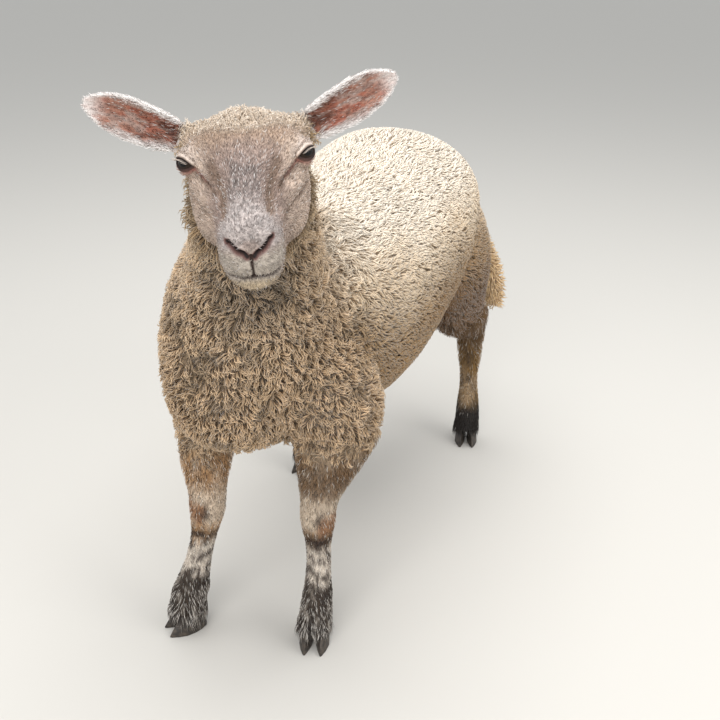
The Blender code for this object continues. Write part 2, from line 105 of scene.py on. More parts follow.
def fade(value, low, high):
    """1 below low, 0 above high and an even curve between."""
    return 1 - ramp(value, low, high)


def bell(value, width):
    """1 at 0, and almost 0 from about twice the width on."""
    return np.exp(-((value / width) ** 2))


def mix(a, b, share):
    """From a to b, which are values or colours, by a share that may have a value for each point."""
    share = np.asarray(share)
    if (np.shape(a)[-1:] == (3,) or np.shape(b)[-1:] == (3,)) and share.ndim == 1:
        share = share[:, None]
    return a + (b - a) * share


def noise(points, size, seed=0):
    """Smooth noise from 0 to 1, with lumps about size metres apart."""
    spot = points / size + seed * 7.31
    cell = np.floor(spot).astype(np.int64)
    share = spot - cell
    share = share * share * (3 - 2 * share)
    total = np.zeros(len(points))
    for corner in range(8):
        step = np.array((corner & 1, corner >> 1 & 1, corner >> 2 & 1))
        key = (cell + step) @ np.array((374761393, 668265263, 1274126177)) + seed * 69069
        key = (key ^ (key >> 13)) * 1103515245
        value = ((key ^ (key >> 16)) & 0xFFFF) / 0xFFFF
        total += value * np.prod(np.where(step, share, 1 - share), axis=1)
    return total


def sway(points, size, seed):
    """Smooth noise in each direction, from -0.5 to 0.5."""
    return np.stack([noise(points, size, seed + i) - 0.5 for i in range(3)], axis=1)


def unit(vectors):
    """The vectors at length 1."""
    return vectors / np.maximum(np.linalg.norm(vectors, axis=-1, keepdims=True), 1e-9)


def dot(a, b):
    """The scalar product of each pair of vectors."""
    return (a * b).sum(-1)


def flattened(vectors, normals):
    """The vectors laid into the surface with these normals, at length 1."""
    return unit(vectors - normals * dot(vectors, normals)[:, None])


def read(items, field, width, kind=np.float32):
    """One field of all of a mesh's items, in rows of that width."""
    values = np.empty(len(items) * width, kind)
    items.foreach_get(field, values)
    return values.reshape(-1, width).astype(np.float64 if kind is np.float32 else np.int64)


class Net:
    """A mesh as arrays, so that all its points can be moved at once."""

    def __init__(self, mesh):
        self.mesh = mesh
        self.points = read(mesh.vertices, "co", 3)
        self.edges = read(mesh.edges, "vertices", 2, np.int32)
        self.degree = np.bincount(self.edges.ravel(), minlength=len(self.points))

    def averaged(self, values):
        """Each point's mean over its neighbours."""
        a, b = self.edges.T
        count = len(self.points)
        flat = values.reshape(count, -1)
        total = [
            np.bincount(a, flat[b, i], count) + np.bincount(b, flat[a, i], count)
            for i in range(flat.shape[1])
        ]
        mean = np.stack(total, axis=1) / np.maximum(self.degree, 1)[:, None]
        return mean.reshape(values.shape)

    def spread(self, values, rounds):
        for _ in range(rounds):
            values = (values + self.averaged(values)) / 2
        return values

    def relax(self, rounds, share=0.5):
        share = share if np.isscalar(share) else share[:, None]
        for _ in range(rounds):
            self.points += (self.averaged(self.points) - self.points) * share

    def normals(self):
        self.mesh.vertices.foreach_set("co", self.points.astype(np.float32).ravel())
        self.mesh.update()
        return read(self.mesh.vertex_normals, "vector", 3)


def put(name, mesh):
    """A new object in the scene. It holds a mesh, a light or a camera."""
    found = bpy.data.objects.new(name, mesh)
    bpy.context.scene.collection.objects.link(found)
    return found


def mesh_of(shape, name):
    """The shape as a mesh of that name. The shape is used up."""
    mesh = bpy.data.meshes.new(name)
    shape.to_mesh(mesh)
    shape.free()
    return mesh


def modified(held, kind, **settings):
    """The mesh of an object after one modifier. The object is used up."""
    modifier = held.modifiers.new(kind.title(), kind)
    for name, value in settings.items():
        setattr(modifier, name, value)
    graph = bpy.context.evaluated_depsgraph_get()
    found = bpy.data.meshes.new_from_object(held.evaluated_get(graph), depsgraph=graph)
    bpy.data.objects.remove(held)
    return found


def box_middle(node):
    low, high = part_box(node)
    return np.array((low + high) / 2)


def node_points(name):
    """The points of a node's solid."""
    return read(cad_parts[name].data.vertices, "co", 3)


def in_box(points, box, margin):
    """Whether each point is in the box or within a margin of it."""
    low, high = np.array(box, float)
    return ((points > low - margin) & (points < high + margin)).all(axis=1)


# ---------------------------------------------------------------- where things are on the sheep

TURN = np.array(
    Matrix.Rotation(HEAD_HEADING, 3, "Z")
    @ Matrix.Rotation(HEAD_PITCH, 3, "X")
    @ Matrix.Rotation(HEAD_ROLL, 3, "Y")
)
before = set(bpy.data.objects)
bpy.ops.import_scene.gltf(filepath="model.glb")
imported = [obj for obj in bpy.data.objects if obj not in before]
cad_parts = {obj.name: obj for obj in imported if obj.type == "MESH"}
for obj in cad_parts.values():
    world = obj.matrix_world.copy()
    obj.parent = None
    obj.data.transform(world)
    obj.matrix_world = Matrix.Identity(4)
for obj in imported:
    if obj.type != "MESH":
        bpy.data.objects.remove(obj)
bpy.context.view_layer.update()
BETWEEN_EYES = (box_middle("eye_left") + box_middle("eye_right")) / 2
HEAD_ORIGIN = BETWEEN_EYES - TURN @ (EYE_CENTRE * (0, 1, 1))
TAIL_BOX = np.array(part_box("tail"))
LEG_BOXES = {
    leg: [np.array(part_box("{}leg_{}_{}".format(*leg.split("_"), part))) for part in ("upper", "lower")]
    for leg in LEGS
}
LEG_AROUND = {
    leg: (np.minimum(upper[0], lower[0]), np.maximum(upper[1], lower[1]))
    for leg, (upper, lower) in LEG_BOXES.items()
}
BEHIND_FORELEGS = 0.08
KNEE_HEIGHT, KNEE_TURN = 0.219, radians(20)  # the marks on the knees face a little to the left
# Heights at which each leg's wool gives way to hair
WOOL_ENDS = {"fore_left": 0.310, "fore_right": 0.296, "hind_left": 0.286, "hind_right": 0.276}
# On the head the wool starts behind a line from the throat over the cheek to the poll: heights and places
LINE_HEIGHTS = (-0.108, -0.098, -0.082, -0.055, -0.020, 0.012, 0.026, 0.034)
LINE_STARTS = (-0.300, -0.020, 0.010, 0.022, 0.036, 0.040, 0.018, -0.018)
HEAD_UNWRAP = (0, 1, 0), np.array((0, 0, -0.03))  # axis and centre that the head's skin is unwrapped round


def to_head(points):
    """The points in the head's own frame."""
    return (points - HEAD_ORIGIN) @ TURN


def from_head(local):
    """Points in the head's own frame, back in the sheep's."""
    return local @ TURN.T + HEAD_ORIGIN


def ear_share(points):
    """1 on the ears, 0 elsewhere."""
    local = to_head(points)
    total = np.zeros(len(points))
    for side in SIDES:
        axis = unit(EAR_AXIS * (side, 1, 1))
        away = local - EAR_ROOT * (side, 1, 1)
        along = away @ axis
        near = np.linalg.norm(away - along[:, None] * axis, axis=1) < EAR_REACH
        total = np.maximum(total, ramp(along, 0.004, 0.016) * near)
    return total


def leg_share(points):
    """1 on the legs, 0 elsewhere."""
    inside = [in_box(points, box, 0.006) for boxes in LEG_BOXES.values() for box in boxes]
    return np.any(inside, axis=0).astype(float)


def behind_line(points):
    """How far behind the line where the wool starts on the head."""
    local = to_head(points)
    return local[:, 1] - np.interp(local[:, 2], LINE_HEIGHTS, LINE_STARTS)


def wool_share(points):
    """1 where the fleece grows, 0 on the short hair of the face, ears and legs."""
    wander = noise(points, 0.010, 3) - 0.5
    wool = ramp(behind_line(points) + 0.014 * wander, -0.007, 0.007) * (1 - ear_share(points))
    for leg, around in LEG_AROUND.items():
        height = points[:, 2] + 0.025 * wander - WOOL_ENDS[leg]
        wool *= 1 - in_box(points, around, 0.008) * fade(height, -0.012, 0.012)
    return wool


def fleece_growth(points):
    """From 0 where the wool starts on the head to 1 where it is deepest. It deepens slowly on the poll."""
    behind, height = behind_line(points), to_head(points)[:, 2]
    return mix(ramp(behind, -0.006, 0.012), ramp(behind, -0.006, 0.050), ramp(height, 0.0, 0.02))


def fuzz_share(points):
    """1 on the poll, where the wool is short fuzz that fades into the hair of the forehead."""
    local = to_head(points)
    share = fade(local[:, 1], 0.060, 0.085) * ramp(local[:, 2], -0.005, 0.010)
    return share * ramp(behind_line(points), -0.022, 0.002) * (1 - ear_share(points))


def poll_share(points):
    """1 on the poll and cheeks, fading down the neck."""
    local = to_head(points)
    return fade(local[:, 1], 0.055, 0.105) * ramp(local[:, 2], -0.11, -0.08)


def thin_share(points):
    """1 where the wool is thin: on poll, legs and tail."""
    return np.maximum(poll_share(points), np.maximum(leg_share(points), in_box(points, TAIL_BOX, 0.004)))


def fleece_depth(points):
    """Depth of the wool where it has its whole growth: deep in front, closely shorn behind."""
    shorn = mix(FELT_DEPTH, FLEECE_DEPTH, ramp(-points[:, 1], 0.06, 0.19))
    return mix(shorn, FLEECE_THIN, thin_share(points))


def coat_depth(points):
    """How far under the outline the skin lies."""
    fleece = mix(HAIR_DEPTH, fleece_depth(points), fleece_growth(points))
    hair = mix(HAIR_DEPTH, EAR_DEPTH, ear_share(points)) * ramp(points[:, 2], 0.012, 0.040)
    return mix(hair, fleece, wool_share(points))


# ---------------------------------------------------------------- the skin


def fused_form():
    """All flesh as one closed surface out to the coat's outline. The eyes fill their sockets."""
    shape = bmesh.new()
    for name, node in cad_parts.items():
        if not name.startswith("hoof"):
            shape.from_mesh(node.data)
    bmesh.ops.remove_doubles(shape, verts=shape.verts, dist=MERGE)
    shape.normal_update()
    for vertex in shape.verts:
        vertex.co += vertex.normal * OVERLAP
    form = Net(modified(put("form", mesh_of(shape, "form")), "REMESH", mode="VOXEL", voxel_size=NET))
    form.relax(EAR_SMOOTHING)
    form.relax(SMOOTHING - EAR_SMOOTHING, 0.5 * (1 - ear_share(form.points)))
    return form


def draw_in(form, steps=4):
    """Moves the outline in to the skin."""
    depth = form.spread(coat_depth(form.points), 40)
    soft = 0.5 * wool_share(form.points)
    for _ in range(steps):
        normals = unit(form.spread(form.normals(), 4))
        form.points -= normals * depth[:, None] / steps
        form.relax(2, soft)
    form.normals()


def thinned(form):
    """Fewer faces under the wool and on the legs. The head keeps all of its own."""
    wool, leg = wool_share(form.points), leg_share(form.points)
    held = put("skin", form.mesh)
    free = held.vertex_groups.new(name="free")
    free.add(np.flatnonzero(wool > 0.9).tolist(), 1.0, "REPLACE")
    free.add(np.flatnonzero((wool <= 0.9) & (leg > 0.5)).tolist(), LEG_FREEDOM, "REPLACE")
    return modified(
        held, "DECIMATE", ratio=SKIN_SHARE, vertex_group="free", vertex_group_factor=0.001
    )


def distance_to(local, path):
    """Each point's distance to a line through the path's points, and its share of the way along."""
    path = np.array(path, float)
    best, where = np.full(len(local), np.inf), np.zeros(len(local))
    for i, (start, end) in enumerate(zip(path[:-1], path[1:])):
        step = end - start
        share = np.clip((local - start) @ step / max(step @ step, 1e-12), 0, 1)
        away = np.linalg.norm(local - start - share[:, None] * step, axis=1)
        nearer = away < best
        best[nearer], where[nearer] = away[nearer], (i + share[nearer]) / (len(path) - 1)
    return best, where


# Lines on the face, on its left side, in the head's frame. They are laid onto the skin before it is worked.
FACE_PATHS = {
    "nostril": ((0.0214, -0.1330, -0.0200), (0.0192, -0.1352, -0.0240), (0.0150, -0.1378, -0.0272),
                (0.0086, -0.1387, -0.0314), (0.0026, -0.1387, -0.0352)),
    "mouth": ((0.0, -0.1321, -0.0612), (0.0083, -0.1316, -0.0613), (0.0160, -0.1293, -0.0605),
              (0.0208, -0.1270, -0.0594), (0.0262, -0.1150, -0.0570), (0.0310, -0.0990, -0.0540)),
    "cleft": ((0.0, -0.1387, -0.0350), (0.0, -0.1376, -0.0457), (0.0, -0.1321, -0.0608)),
    "tear_groove": ((0.0530, -0.0150, 0.0000), (0.0448, -0.0330, -0.0020), (0.0365, -0.0555, -0.0015),
                    (0.0300, -0.0750, -0.0030)),
    "cheek_fold": ((0.0570, -0.0100, -0.0270), (0.0496, -0.0425, -0.0260), (0.0388, -0.0730, -0.0260),
                   (0.0315, -0.1000, -0.0290), (0.0300, -0.1120, -0.0400)),
    "cheek_ridge": ((0.0555, -0.0130, -0.0135), (0.0470, -0.0400, -0.0135), (0.0370, -0.0680, -0.0130)),
    "bridge_side": ((0.0300, -0.0430, 0.0110), (0.0230, -0.0800, 0.0050), (0.0220, -0.1080, -0.0040),
                    (0.0215, -0.1200, -0.0090)),
}
LINES = {}


def lay_lines(points):
    """Divides each line of the face finely and moves it onto the skin, on both sides."""
    local = to_head(points)
    near = local[(local[:, 1] < 0.03) & (np.abs(local[:, 0]) < 0.075) & (local[:, 2] > -0.1)]
    for name, path in FACE_PATHS.items():
        for side in SIDES:
            ends = np.array(path) * (side, 1, 1)
            at = np.linspace(0, len(path) - 1, 12)
            fine = np.stack([np.interp(at, np.arange(len(path)), ends[:, i]) for i in range(3)], axis=1)
            laid = np.array([near[np.argmin(((near - spot) ** 2).sum(axis=1))] for spot in fine])
            laid[1:-1] = (laid[:-2] + 2 * laid[1:-1] + laid[2:]) / 4
            if name == "cleft":
                laid[:, 0] = 0
            LINES[name, side] = laid


class Lids:
    """One eye's lids, in a frame along the slit between them."""

    def __init__(self, side):
        self.centre = EYE_CENTRE * (side, 1, 1)
        self.look = unit(np.array(EYE_LOOK) * (side, 1, 1))
        slit = np.array(EYE_SLIT) * (side, 1, 1)
        self.slit = unit(slit - self.look * dot(slit, self.look))
        self.up = np.cross(self.look, self.slit)
        self.up *= np.sign(self.up[2])

    def places(self, local, limit):
        """Each point's place along the slit and above it, its distance outside the opening, its distance
        from the eye's middle, and whether it is in front of that and within the limit."""
        away = local - self.centre
        along, height, reach = away @ self.slit, away @ self.up, np.linalg.norm(away, axis=1)
        bow = np.clip(1 - (along / SLIT_HALF) ** 2, 0, 1)
        middle, half = bow * (LID_ABOVE - LID_BELOW) / 2, bow * (LID_ABOVE + LID_BELOW) / 2
        beyond = np.maximum(np.abs(along) - SLIT_HALF, 0)
        edge = np.where(beyond > 0, np.hypot(beyond, height), np.abs(height - middle) - half)
        return along, height, edge, reach, (away @ self.look > 0) & (reach < limit)

    def shape(self, local):
        """Wraps the skin round the eyeball: a thick rim to each lid, and the folds above and below."""
        _, height, edge, reach, near = self.places(local, 0.032)
        lid = EYE_RADIUS + 0.0016 - 0.0014 * bell(edge - LID_CREASE, 0.0013) * (height > 0)
        lid -= 0.0008 * bell(edge - 0.0050, 0.0013) * (height < 0)
        lid += 0.0005 * bell(edge - 0.0012, 0.0011) * (1 + 0.8 * (height > 0))
        wanted = mix(EYE_RADIUS - 0.0040, lid, ramp(edge, -0.0013, 0.0002))
        share = near * fade(edge, 0.0060, 0.0125)
        scale = mix(reach, wanted, share) / np.maximum(reach, 1e-6)
        return self.centre + (local - self.centre) * scale[:, None]


LIDS = {side: Lids(side) for side in SIDES}


def work_head(skin):
    """Lids, nostrils, lips, tear grooves and cheeks, pressed and raised like clay."""
    normals = unit(skin.spread(skin.normals(), 3)) @ TURN
    local = to_head(skin.points)
    face = (local[:, 1] < 0.05) & (np.abs(local[:, 0]) < 0.075) & (local[:, 2] > -0.11)
    spots, up = local[face], normals[face]

    # A press is a groove of that width and depth along a path, or a ridge if its depth is less than 0.
    # A swell is a bump of that height round a centre, or a hollow if its height is less than 0.
    def press(path, width, depth, direction=None, ends=0.25):
        nonlocal spots
        away, where = distance_to(spots, path)
        taper = ramp(where, -0.001, ends) * fade(where, 1 - ends, 1.001) if ends else 1
        amount = depth * bell(away, width) * (0.25 + 0.75 * taper)
        spots = spots - (up if direction is None else np.array(direction)) * amount[:, None]

    def swell(centre, radii, height):
        nonlocal spots
        share = np.exp(-(((spots - np.array(centre)) / radii) ** 2).sum(axis=1))
        spots = spots + up * (height * share)[:, None]

    for side in SIDES:
        swell((0.036 * side, -0.086, -0.050), (0.020, 0.022, 0.026), -0.0050)  # hollow behind the muzzle
        swell((0.052 * side, -0.004, -0.052), (0.020, 0.024, 0.022), 0.0012)  # jaw muscle
        swell((0.040 * side, 0.018, 0.021), (0.012, 0.014, 0.010), -0.0018)  # temple
        swell((0.0560 * side, -0.0100, 0.0150), (0.0110, 0.0120, 0.0070), 0.0030)  # brow over the eye
        swell((0.0480 * side, -0.0200, 0.0090), (0.0060, 0.0060, 0.0050), -0.0012)  # inner corner of the eye
        press(LINES["bridge_side", side], 0.0066, 0.0032)
        press(LINES["cheek_ridge", side], 0.0072, -0.0026)
        press(LINES["tear_groove", side], 0.0042, 0.0052, ends=0.3)
        press(LINES["cheek_fold", side], 0.0048, 0.0044)
        swell((0.0190 * side, -0.1300, -0.0135), (0.0075, 0.0100, 0.0065), 0.0024)  # wing of the nostril
        swell((0.0120 * side, -0.1364, -0.0475), (0.0092, 0.0090, 0.0088), 0.0028)  # lobe of the upper lip
        outward = (0.35 * side, -0.75, -0.10)
        press(LINES["nostril", side], 0.0021, 0.0070, outward)
        press(LINES["nostril", side][:6], 0.0034, 0.0046, outward)  # wider at its upper end
        press(LINES["mouth", side], 0.0024, 0.0062, ends=0.0)
    swell((0, -0.1300, -0.0650), (0.0180, 0.0060, 0.0035), -0.0016)  # under the lower lip
    swell((0, -0.1250, -0.0750), (0.0140, 0.0090, 0.0060), 0.0032)  # chin
    swell((0, -0.0800, 0.0160), (0.0130, 0.0420, 0.0100), 0.0012)  # bridge of the nose
    press(LINES["cleft", 1], 0.0015, 0.0034, ends=0.0)
    local[face] = spots
    for lids in LIDS.values():
        local = lids.shape(local)
    skin.points = from_head(local)


def near_features(local):
    """Rounds of splitting that a point of the head needs: 1 on the muzzle, 2 at lids, nostrils and mouth."""
    level = (local[:, 1] < -0.088).astype(int)
    for side, lids in LIDS.items():
        away = np.linalg.norm(local - lids.centre, axis=1)
        level[away < 0.034] = 1
        level[away < 0.0235] = 2  # lids
        for name, reach in (("nostril", 0.0075), ("mouth", 0.0050), ("cleft", 0.0050)):
            level[distance_to(local, LINES[name, side])[0] < reach] = 2
    return level


def refined(mesh):
    """The mesh as a net, with its faces split where the head has fine features."""
    shape = bmesh.new()
    shape.from_mesh(mesh)
    for needed in (1, 2):
        spots = np.array([vertex.co for vertex in shape.verts])
        fine = near_features(to_head(spots)) >= needed
        shape.verts.index_update()
        edges = [edge for edge in shape.edges if fine[edge.verts[0].index] and fine[edge.verts[1].index]]
        bmesh.ops.subdivide_edges(shape, edges=edges, cuts=1, use_grid_fill=True)
    shape.to_mesh(mesh)
    shape.free()
    skin = Net(mesh)
    skin.relax(2, 0.5 * (near_features(to_head(skin.points)) > 0))
    skin.normals()
    return skin


# ---------------------------------------------------------------- markings

COLOURS = {
    "back": "#e8dccb", "flank": "#e8d5ba", "belly": "#94764f", "breast": "#c8ae8e", "ruff": "#ccb28e",
    "poll": "#dccab5", "thigh": "#6c5034", "breech": "#e6c698", "face": "#aa9488", "face_dark": "#968176",
    "bridge": "#8b7d77", "beside_bridge": "#8d7563", "brow": "#b39983", "cheek": "#d1bba9",
    "lip": "#ada296", "nose": "#aea39e", "chin": "#bfaa8a", "groove": "#7d6350", "rim": "#2a1d19",
    "rim_pink": "#523830", "nostril": "#6e4f49", "nostril_deep": "#1d1210", "mouth": "#3f2f29",
    "pale": "#e6dad1", "bare_pink": "#a9766b", "ear_pink": "#a67866", "ear_deep": "#683a2a",
    "ear_red": "#98523c", "ear_rim": "#f4f0ec", "ear_grey": "#a8978e", "leg_brown": "#9f7c58",
    "knee_pale": "#d2c0ab", "knee_rust": "#8f5f38", "knee_dark": "#33231a", "cannon": "#dacdbe",
    "pastern": "#3f342b", "shank": "#9c7a4a", "foot_black": "#2a231e",
}
COLOURS = {name: linear(value) for name, value in COLOURS.items()}


def layered(colour, *layers):
    """A colour with others laid over it in turn, each by its share. A colour is a name or values."""
    colour = COLOURS[colour] if isinstance(colour, str) else colour
    for over, share in layers:
        colour = mix(colour, COLOURS[over] if isinstance(over, str) else over, share)
    return colour


def wool_colour(points, normals):
    """Cream on the back, duller down the sides, brown on the thighs, grey-beige on the breast and neck. The
    back's cream reaches further down where the wool faces up, as painted light from above; the thighs' brown
    and the wool under the chin carry painted shade.
    """
    y, z = points[:, 1], points[:, 2]
    height = z + 0.05 * (noise(points, 0.07, 5) - 0.5)
    start = 0.172 - 0.065 * fade(z, 0.37, 0.46) - 0.055 * ramp(z, 0.56, 0.60)
    front = ramp(-y - start + 0.03 * (noise(points, 0.05, 6) - 0.5), -0.025, 0.030)
    colour = layered(
        "belly",
        ("flank", ramp(height, 0.40, 0.53)),
        # Painted light from above: wool that faces up takes more of the back's cream
        ("back", ramp(height + 0.10 * normals[:, 2], 0.50, 0.64)),
        ("breast", front * 0.9),
        # The thighs: brown wool, deepened with painted shade under the body
        ("thigh", 0.9 * fade(height, 0.34, 0.42) * ramp(y, 0.17, 0.25) * fade(y, 0.37, 0.44)),
        ("breech", 0.7 * ramp(y, 0.40, 0.47)),
    )
    local = to_head(points)
    # Painted shadow on the wool under the chin
    throat = fade(np.linalg.norm(local - (-0.005, -0.010, -0.150), axis=1), 0.025, 0.080)
    colour = colour * (1 - 0.45 * throat)[:, None]
    ruff = ramp(local[:, 2], -0.13, -0.06) * fade(local[:, 1], 0.07, 0.12)
    return layered(colour, ("ruff", ruff * 0.8), ("poll", ramp(local[:, 2], 0.000, 0.025) * ruff))


def face_colour(points):
    """Mottled grey-brown and pinkish white, darker beside the bridge of the nose and in the tear grooves,
    where that darkness is painted shade. Painted shade also lies in the cheek folds, the crease of the upper
    lid, the nostrils, the mouth line and the cleft of the lip, and a painted highlight lies on the bulge of
    the upper lid.
    """
    local = to_head(points)
    x, y, z = local.T
    side = np.abs(x)
    mottle, patch, fleck = noise(local, 0.0045, 8), noise(local, 0.013, 16), noise(local, 0.0022, 17)
    bridge = fade(side, 0.009, 0.019) * fade(y + 0.02 * patch, -0.070, -0.040) * ramp(z, -0.03, -0.005)
    muzzle = fade(y + 0.012 * (mottle - 0.5) + 0.010 * (patch - 0.5), -0.132, -0.088)
    above_lip = ramp(z, -0.040, -0.024)
    pad = fade(side, 0.004, 0.012) * fade(np.abs(z + 0.026), 0.003, 0.009) * muzzle
    colour = layered(
        "face",
        ("face_dark", 0.75 * ramp(patch + 0.35 * mottle, 0.55, 0.95)),
        ("cheek", ramp(side + 0.006 * mottle, 0.030, 0.046) * 0.9),
        ("brow", ramp(z + 0.010 * mottle, 0.014, 0.034) * ramp(y, -0.055, -0.010)),
        ("bridge", bridge * 0.9),
        ("nose", muzzle * above_lip),
        ("face_dark", 0.6 * pad),
        ("lip", muzzle * (1 - above_lip)),
        ("chin", muzzle * fade(z, -0.070, -0.062) * 0.8),
    )
    grizzle = fade(side, 0.012, 0.020) * fade(y, -0.065, -0.035) * ramp(z, -0.036, -0.022)
    speck = mix(1.0, mix(0.70, 1.20, ramp(noise(local, 0.0017, 20), 0.38, 0.62)), 0.8 * grizzle)
    colour = colour * (mix(0.80, 1.14, ramp(fleck + 0.5 * mottle, 0.4, 1.1)) * speck)[:, None]
    for sign, lids in LIDS.items():
        line = {name: distance_to(local, LINES[name, sign]) for name in FACE_PATHS}
        (beside, along_bridge), (tear, fall) = line["bridge_side"], line["tear_groove"]
        (lips, along_lips), nostril, fold = line["mouth"], line["nostril"][0], line["cheek_fold"][0]
        strip = fade(beside + 0.004 * (mottle - 0.5), 0.003, 0.0085) * fade(along_bridge, 0.70, 0.95)
        along, height, edge, _, near = lids.places(local, EYE_REACH)
        pale = near * ramp(edge, 0.001, 0.003) * fade(edge, 0.007, 0.016) * ramp(height, -0.001, 0.004)
        pink = near * fade(edge, 0.0035, 0.0075) * fade(height, -0.003, 0.0)
        rim = layered("rim", ("rim_pink", ramp(-height - 0.4 * along, 0.0030, 0.0060) * 0.8))
        # Painted shade in the hollow beside the bridge, the tear groove and cheek fold, the crease of the
        # upper lid, the nostril, darkest deep inside, and the mouth line; a painted highlight (pale) on the
        # bulge of the upper lid
        colour = layered(
            colour,
            ("beside_bridge", 0.85 * strip),
            ("groove", 0.85 * fade(tear + 0.002 * mottle, 0.0016, 0.006)),
            ("bare_pink", 0.7 * fade(tear, 0.0008, 0.0026) * fade(fall, 0.35, 0.7)),
            ("groove", 0.65 * fade(fold + 0.002 * mottle, 0.001, 0.006)),
            ("pale", 0.45 * pale),
            ("bare_pink", 0.7 * pink),
            ("groove", 0.6 * (near * bell(edge - LID_CREASE, 0.0010) * (height > 0))),
            (rim, near * fade(edge + 0.0010 * (height > 0), 0.0014, 0.0036)),
            ("nostril", fade(nostril, 0.0022, 0.0050)),
            ("nostril_deep", fade(nostril, 0.0010, 0.0027)),
            ("mouth", (0.95 - 0.6 * ramp(along_lips, 0.45, 0.8)) * fade(lips, 0.0018, 0.0046)),
        )
    # Painted shade in the cleft of the upper lip
    cleft, down = distance_to(local, LINES["cleft", 1])
    return layered(colour, ("mouth", fade(cleft + 0.0012 * down, 0.0010, 0.0030)))


def bare(points):
    """1 on the bare rims of lids, nostrils and lips."""
    local = to_head(points)
    found = distance_to(local, LINES["cleft", 1])[0] < 0.0020
    for side, lids in LIDS.items():
        _, _, edge, _, near = lids.places(local, EYE_REACH)
        found |= near & (edge < 0.0030)
        found |= distance_to(local, LINES["nostril", side])[0] < 0.0034
        found |= distance_to(local, LINES["mouth", side])[0] < 0.0013
    return found


@cache
def ear_frame(side):
    """Root, axis, width and face directions of an ear, from the points of its node."""
    spots = to_head(node_points(f"ear_{SIDES[side]}"))
    axis = unit(EAR_AXIS * (side, 1, 1))
    _, _, found = np.linalg.svd(spots - spots.mean(axis=0), full_matrices=False)
    face = unit(found[2] - axis * (found[2] @ axis))
    face *= -np.sign(face[1])  # the hollow side faces forward
    return EAR_ROOT * (side, 1, 1), axis, np.cross(axis, face), face


def ear_places(points, normals):
    """For points on the ears: share of the way out, place across, that as a share of half the width there,
    and facing, which is 1 into the hollow, -1 on the back and near 0 on the rim."""
    local, turned = to_head(points), normals @ TURN
    left = local[:, 0] > 0
    along, across = np.zeros((2, len(points)))
    for side, chosen in ((-1, ~left), (1, left)):
        root, axis, width, _ = ear_frame(side)
        along[chosen] = (local[chosen] - root) @ axis / EAR_LENGTH
        across[chosen] = (local[chosen] - root) @ width
    facing = np.where(left, turned @ ear_frame(1)[3], turned @ ear_frame(-1)[3])
    return along, across, np.abs(across) / np.interp(along, EAR_STATIONS, EAR_HALVES), facing


def ear_colour(points, normals):
    """Pinkish skin in the hollow, under pale hair that is densest on the rim."""
    along, across, aside, facing = ear_places(points, normals)
    streak, vein = (
        noise(np.stack([along * length, across, 0 * across], axis=1), size, seed)
        for length, size, seed in ((0.045, 0.0040, 9), (0.022, 0.0026, 10))
    )
    # Deep in the hollow, towards the root, the skin is red-brown and darkened further by painted shade
    inside = layered(
        "ear_deep",
        ("ear_pink", ramp(streak + 0.45 * along, 0.30, 0.85)),
        ("ear_red", 0.70 * ramp(streak - 0.3 * vein, 0.40, 0.58)),
        ("ear_grey", 0.65 * ramp(vein, 0.52, 0.78)),
        ("ear_rim", 0.85 * ramp(aside + 0.25 * (streak - 0.5), 0.66, 0.92)),
        ("ear_rim", 0.6 * ramp(along, 0.75, 0.98)),
    )
    speckle = ramp(noise(points, 0.0035, 18), 0.62, 0.80) * fade(facing, 0.1, 0.5)
    return layered(
        "face",
        ("ear_rim", 0.35 + 0.4 * noise(points, 0.006, 12)),
        ("ear_rim", ramp(facing, -0.5, 0.0)),
        ("ear_grey", 0.7 * speckle),
        (inside, ramp(facing, 0.30, 0.65)),
    )


def outward_of_knee(points):
    """Place across a foreleg, outwards from the middle of its knee."""
    across = np.array((cos(KNEE_TURN), sin(KNEE_TURN), 0))
    found = {}
    for side, name in SIDES.items():
        spots = np.concatenate([node_points(f"foreleg_{name}_{part}") for part in ("upper", "lower")])
        nearest = np.argsort(np.abs(spots[:, 2] - KNEE_HEIGHT))[:60]
        found[side] = side * ((points - spots[nearest].mean(axis=0)) @ across)
    return np.where(points[:, 0] > 0, found[1], found[-1])


def cleft_share(points):
    """1 between the two claws of a foot and in the furrow that runs up from there, which take painted shade.
    """
    share = np.zeros(len(points))
    for leg in LEGS:
        inner, outer = (box_middle(f"hoof_{leg}_{claw}") for claw in ("inner", "outer"))
        beside = unit((outer - inner) * (1, 1, 0))
        away = points - (inner + outer) / 2
        near = np.hypot(away[:, 0], away[:, 1]) < 0.05
        share = np.maximum(share, near * fade(np.abs(away @ beside), 0.0015, 0.0050))
    return share * fade(points[:, 2], 0.045, 0.072)


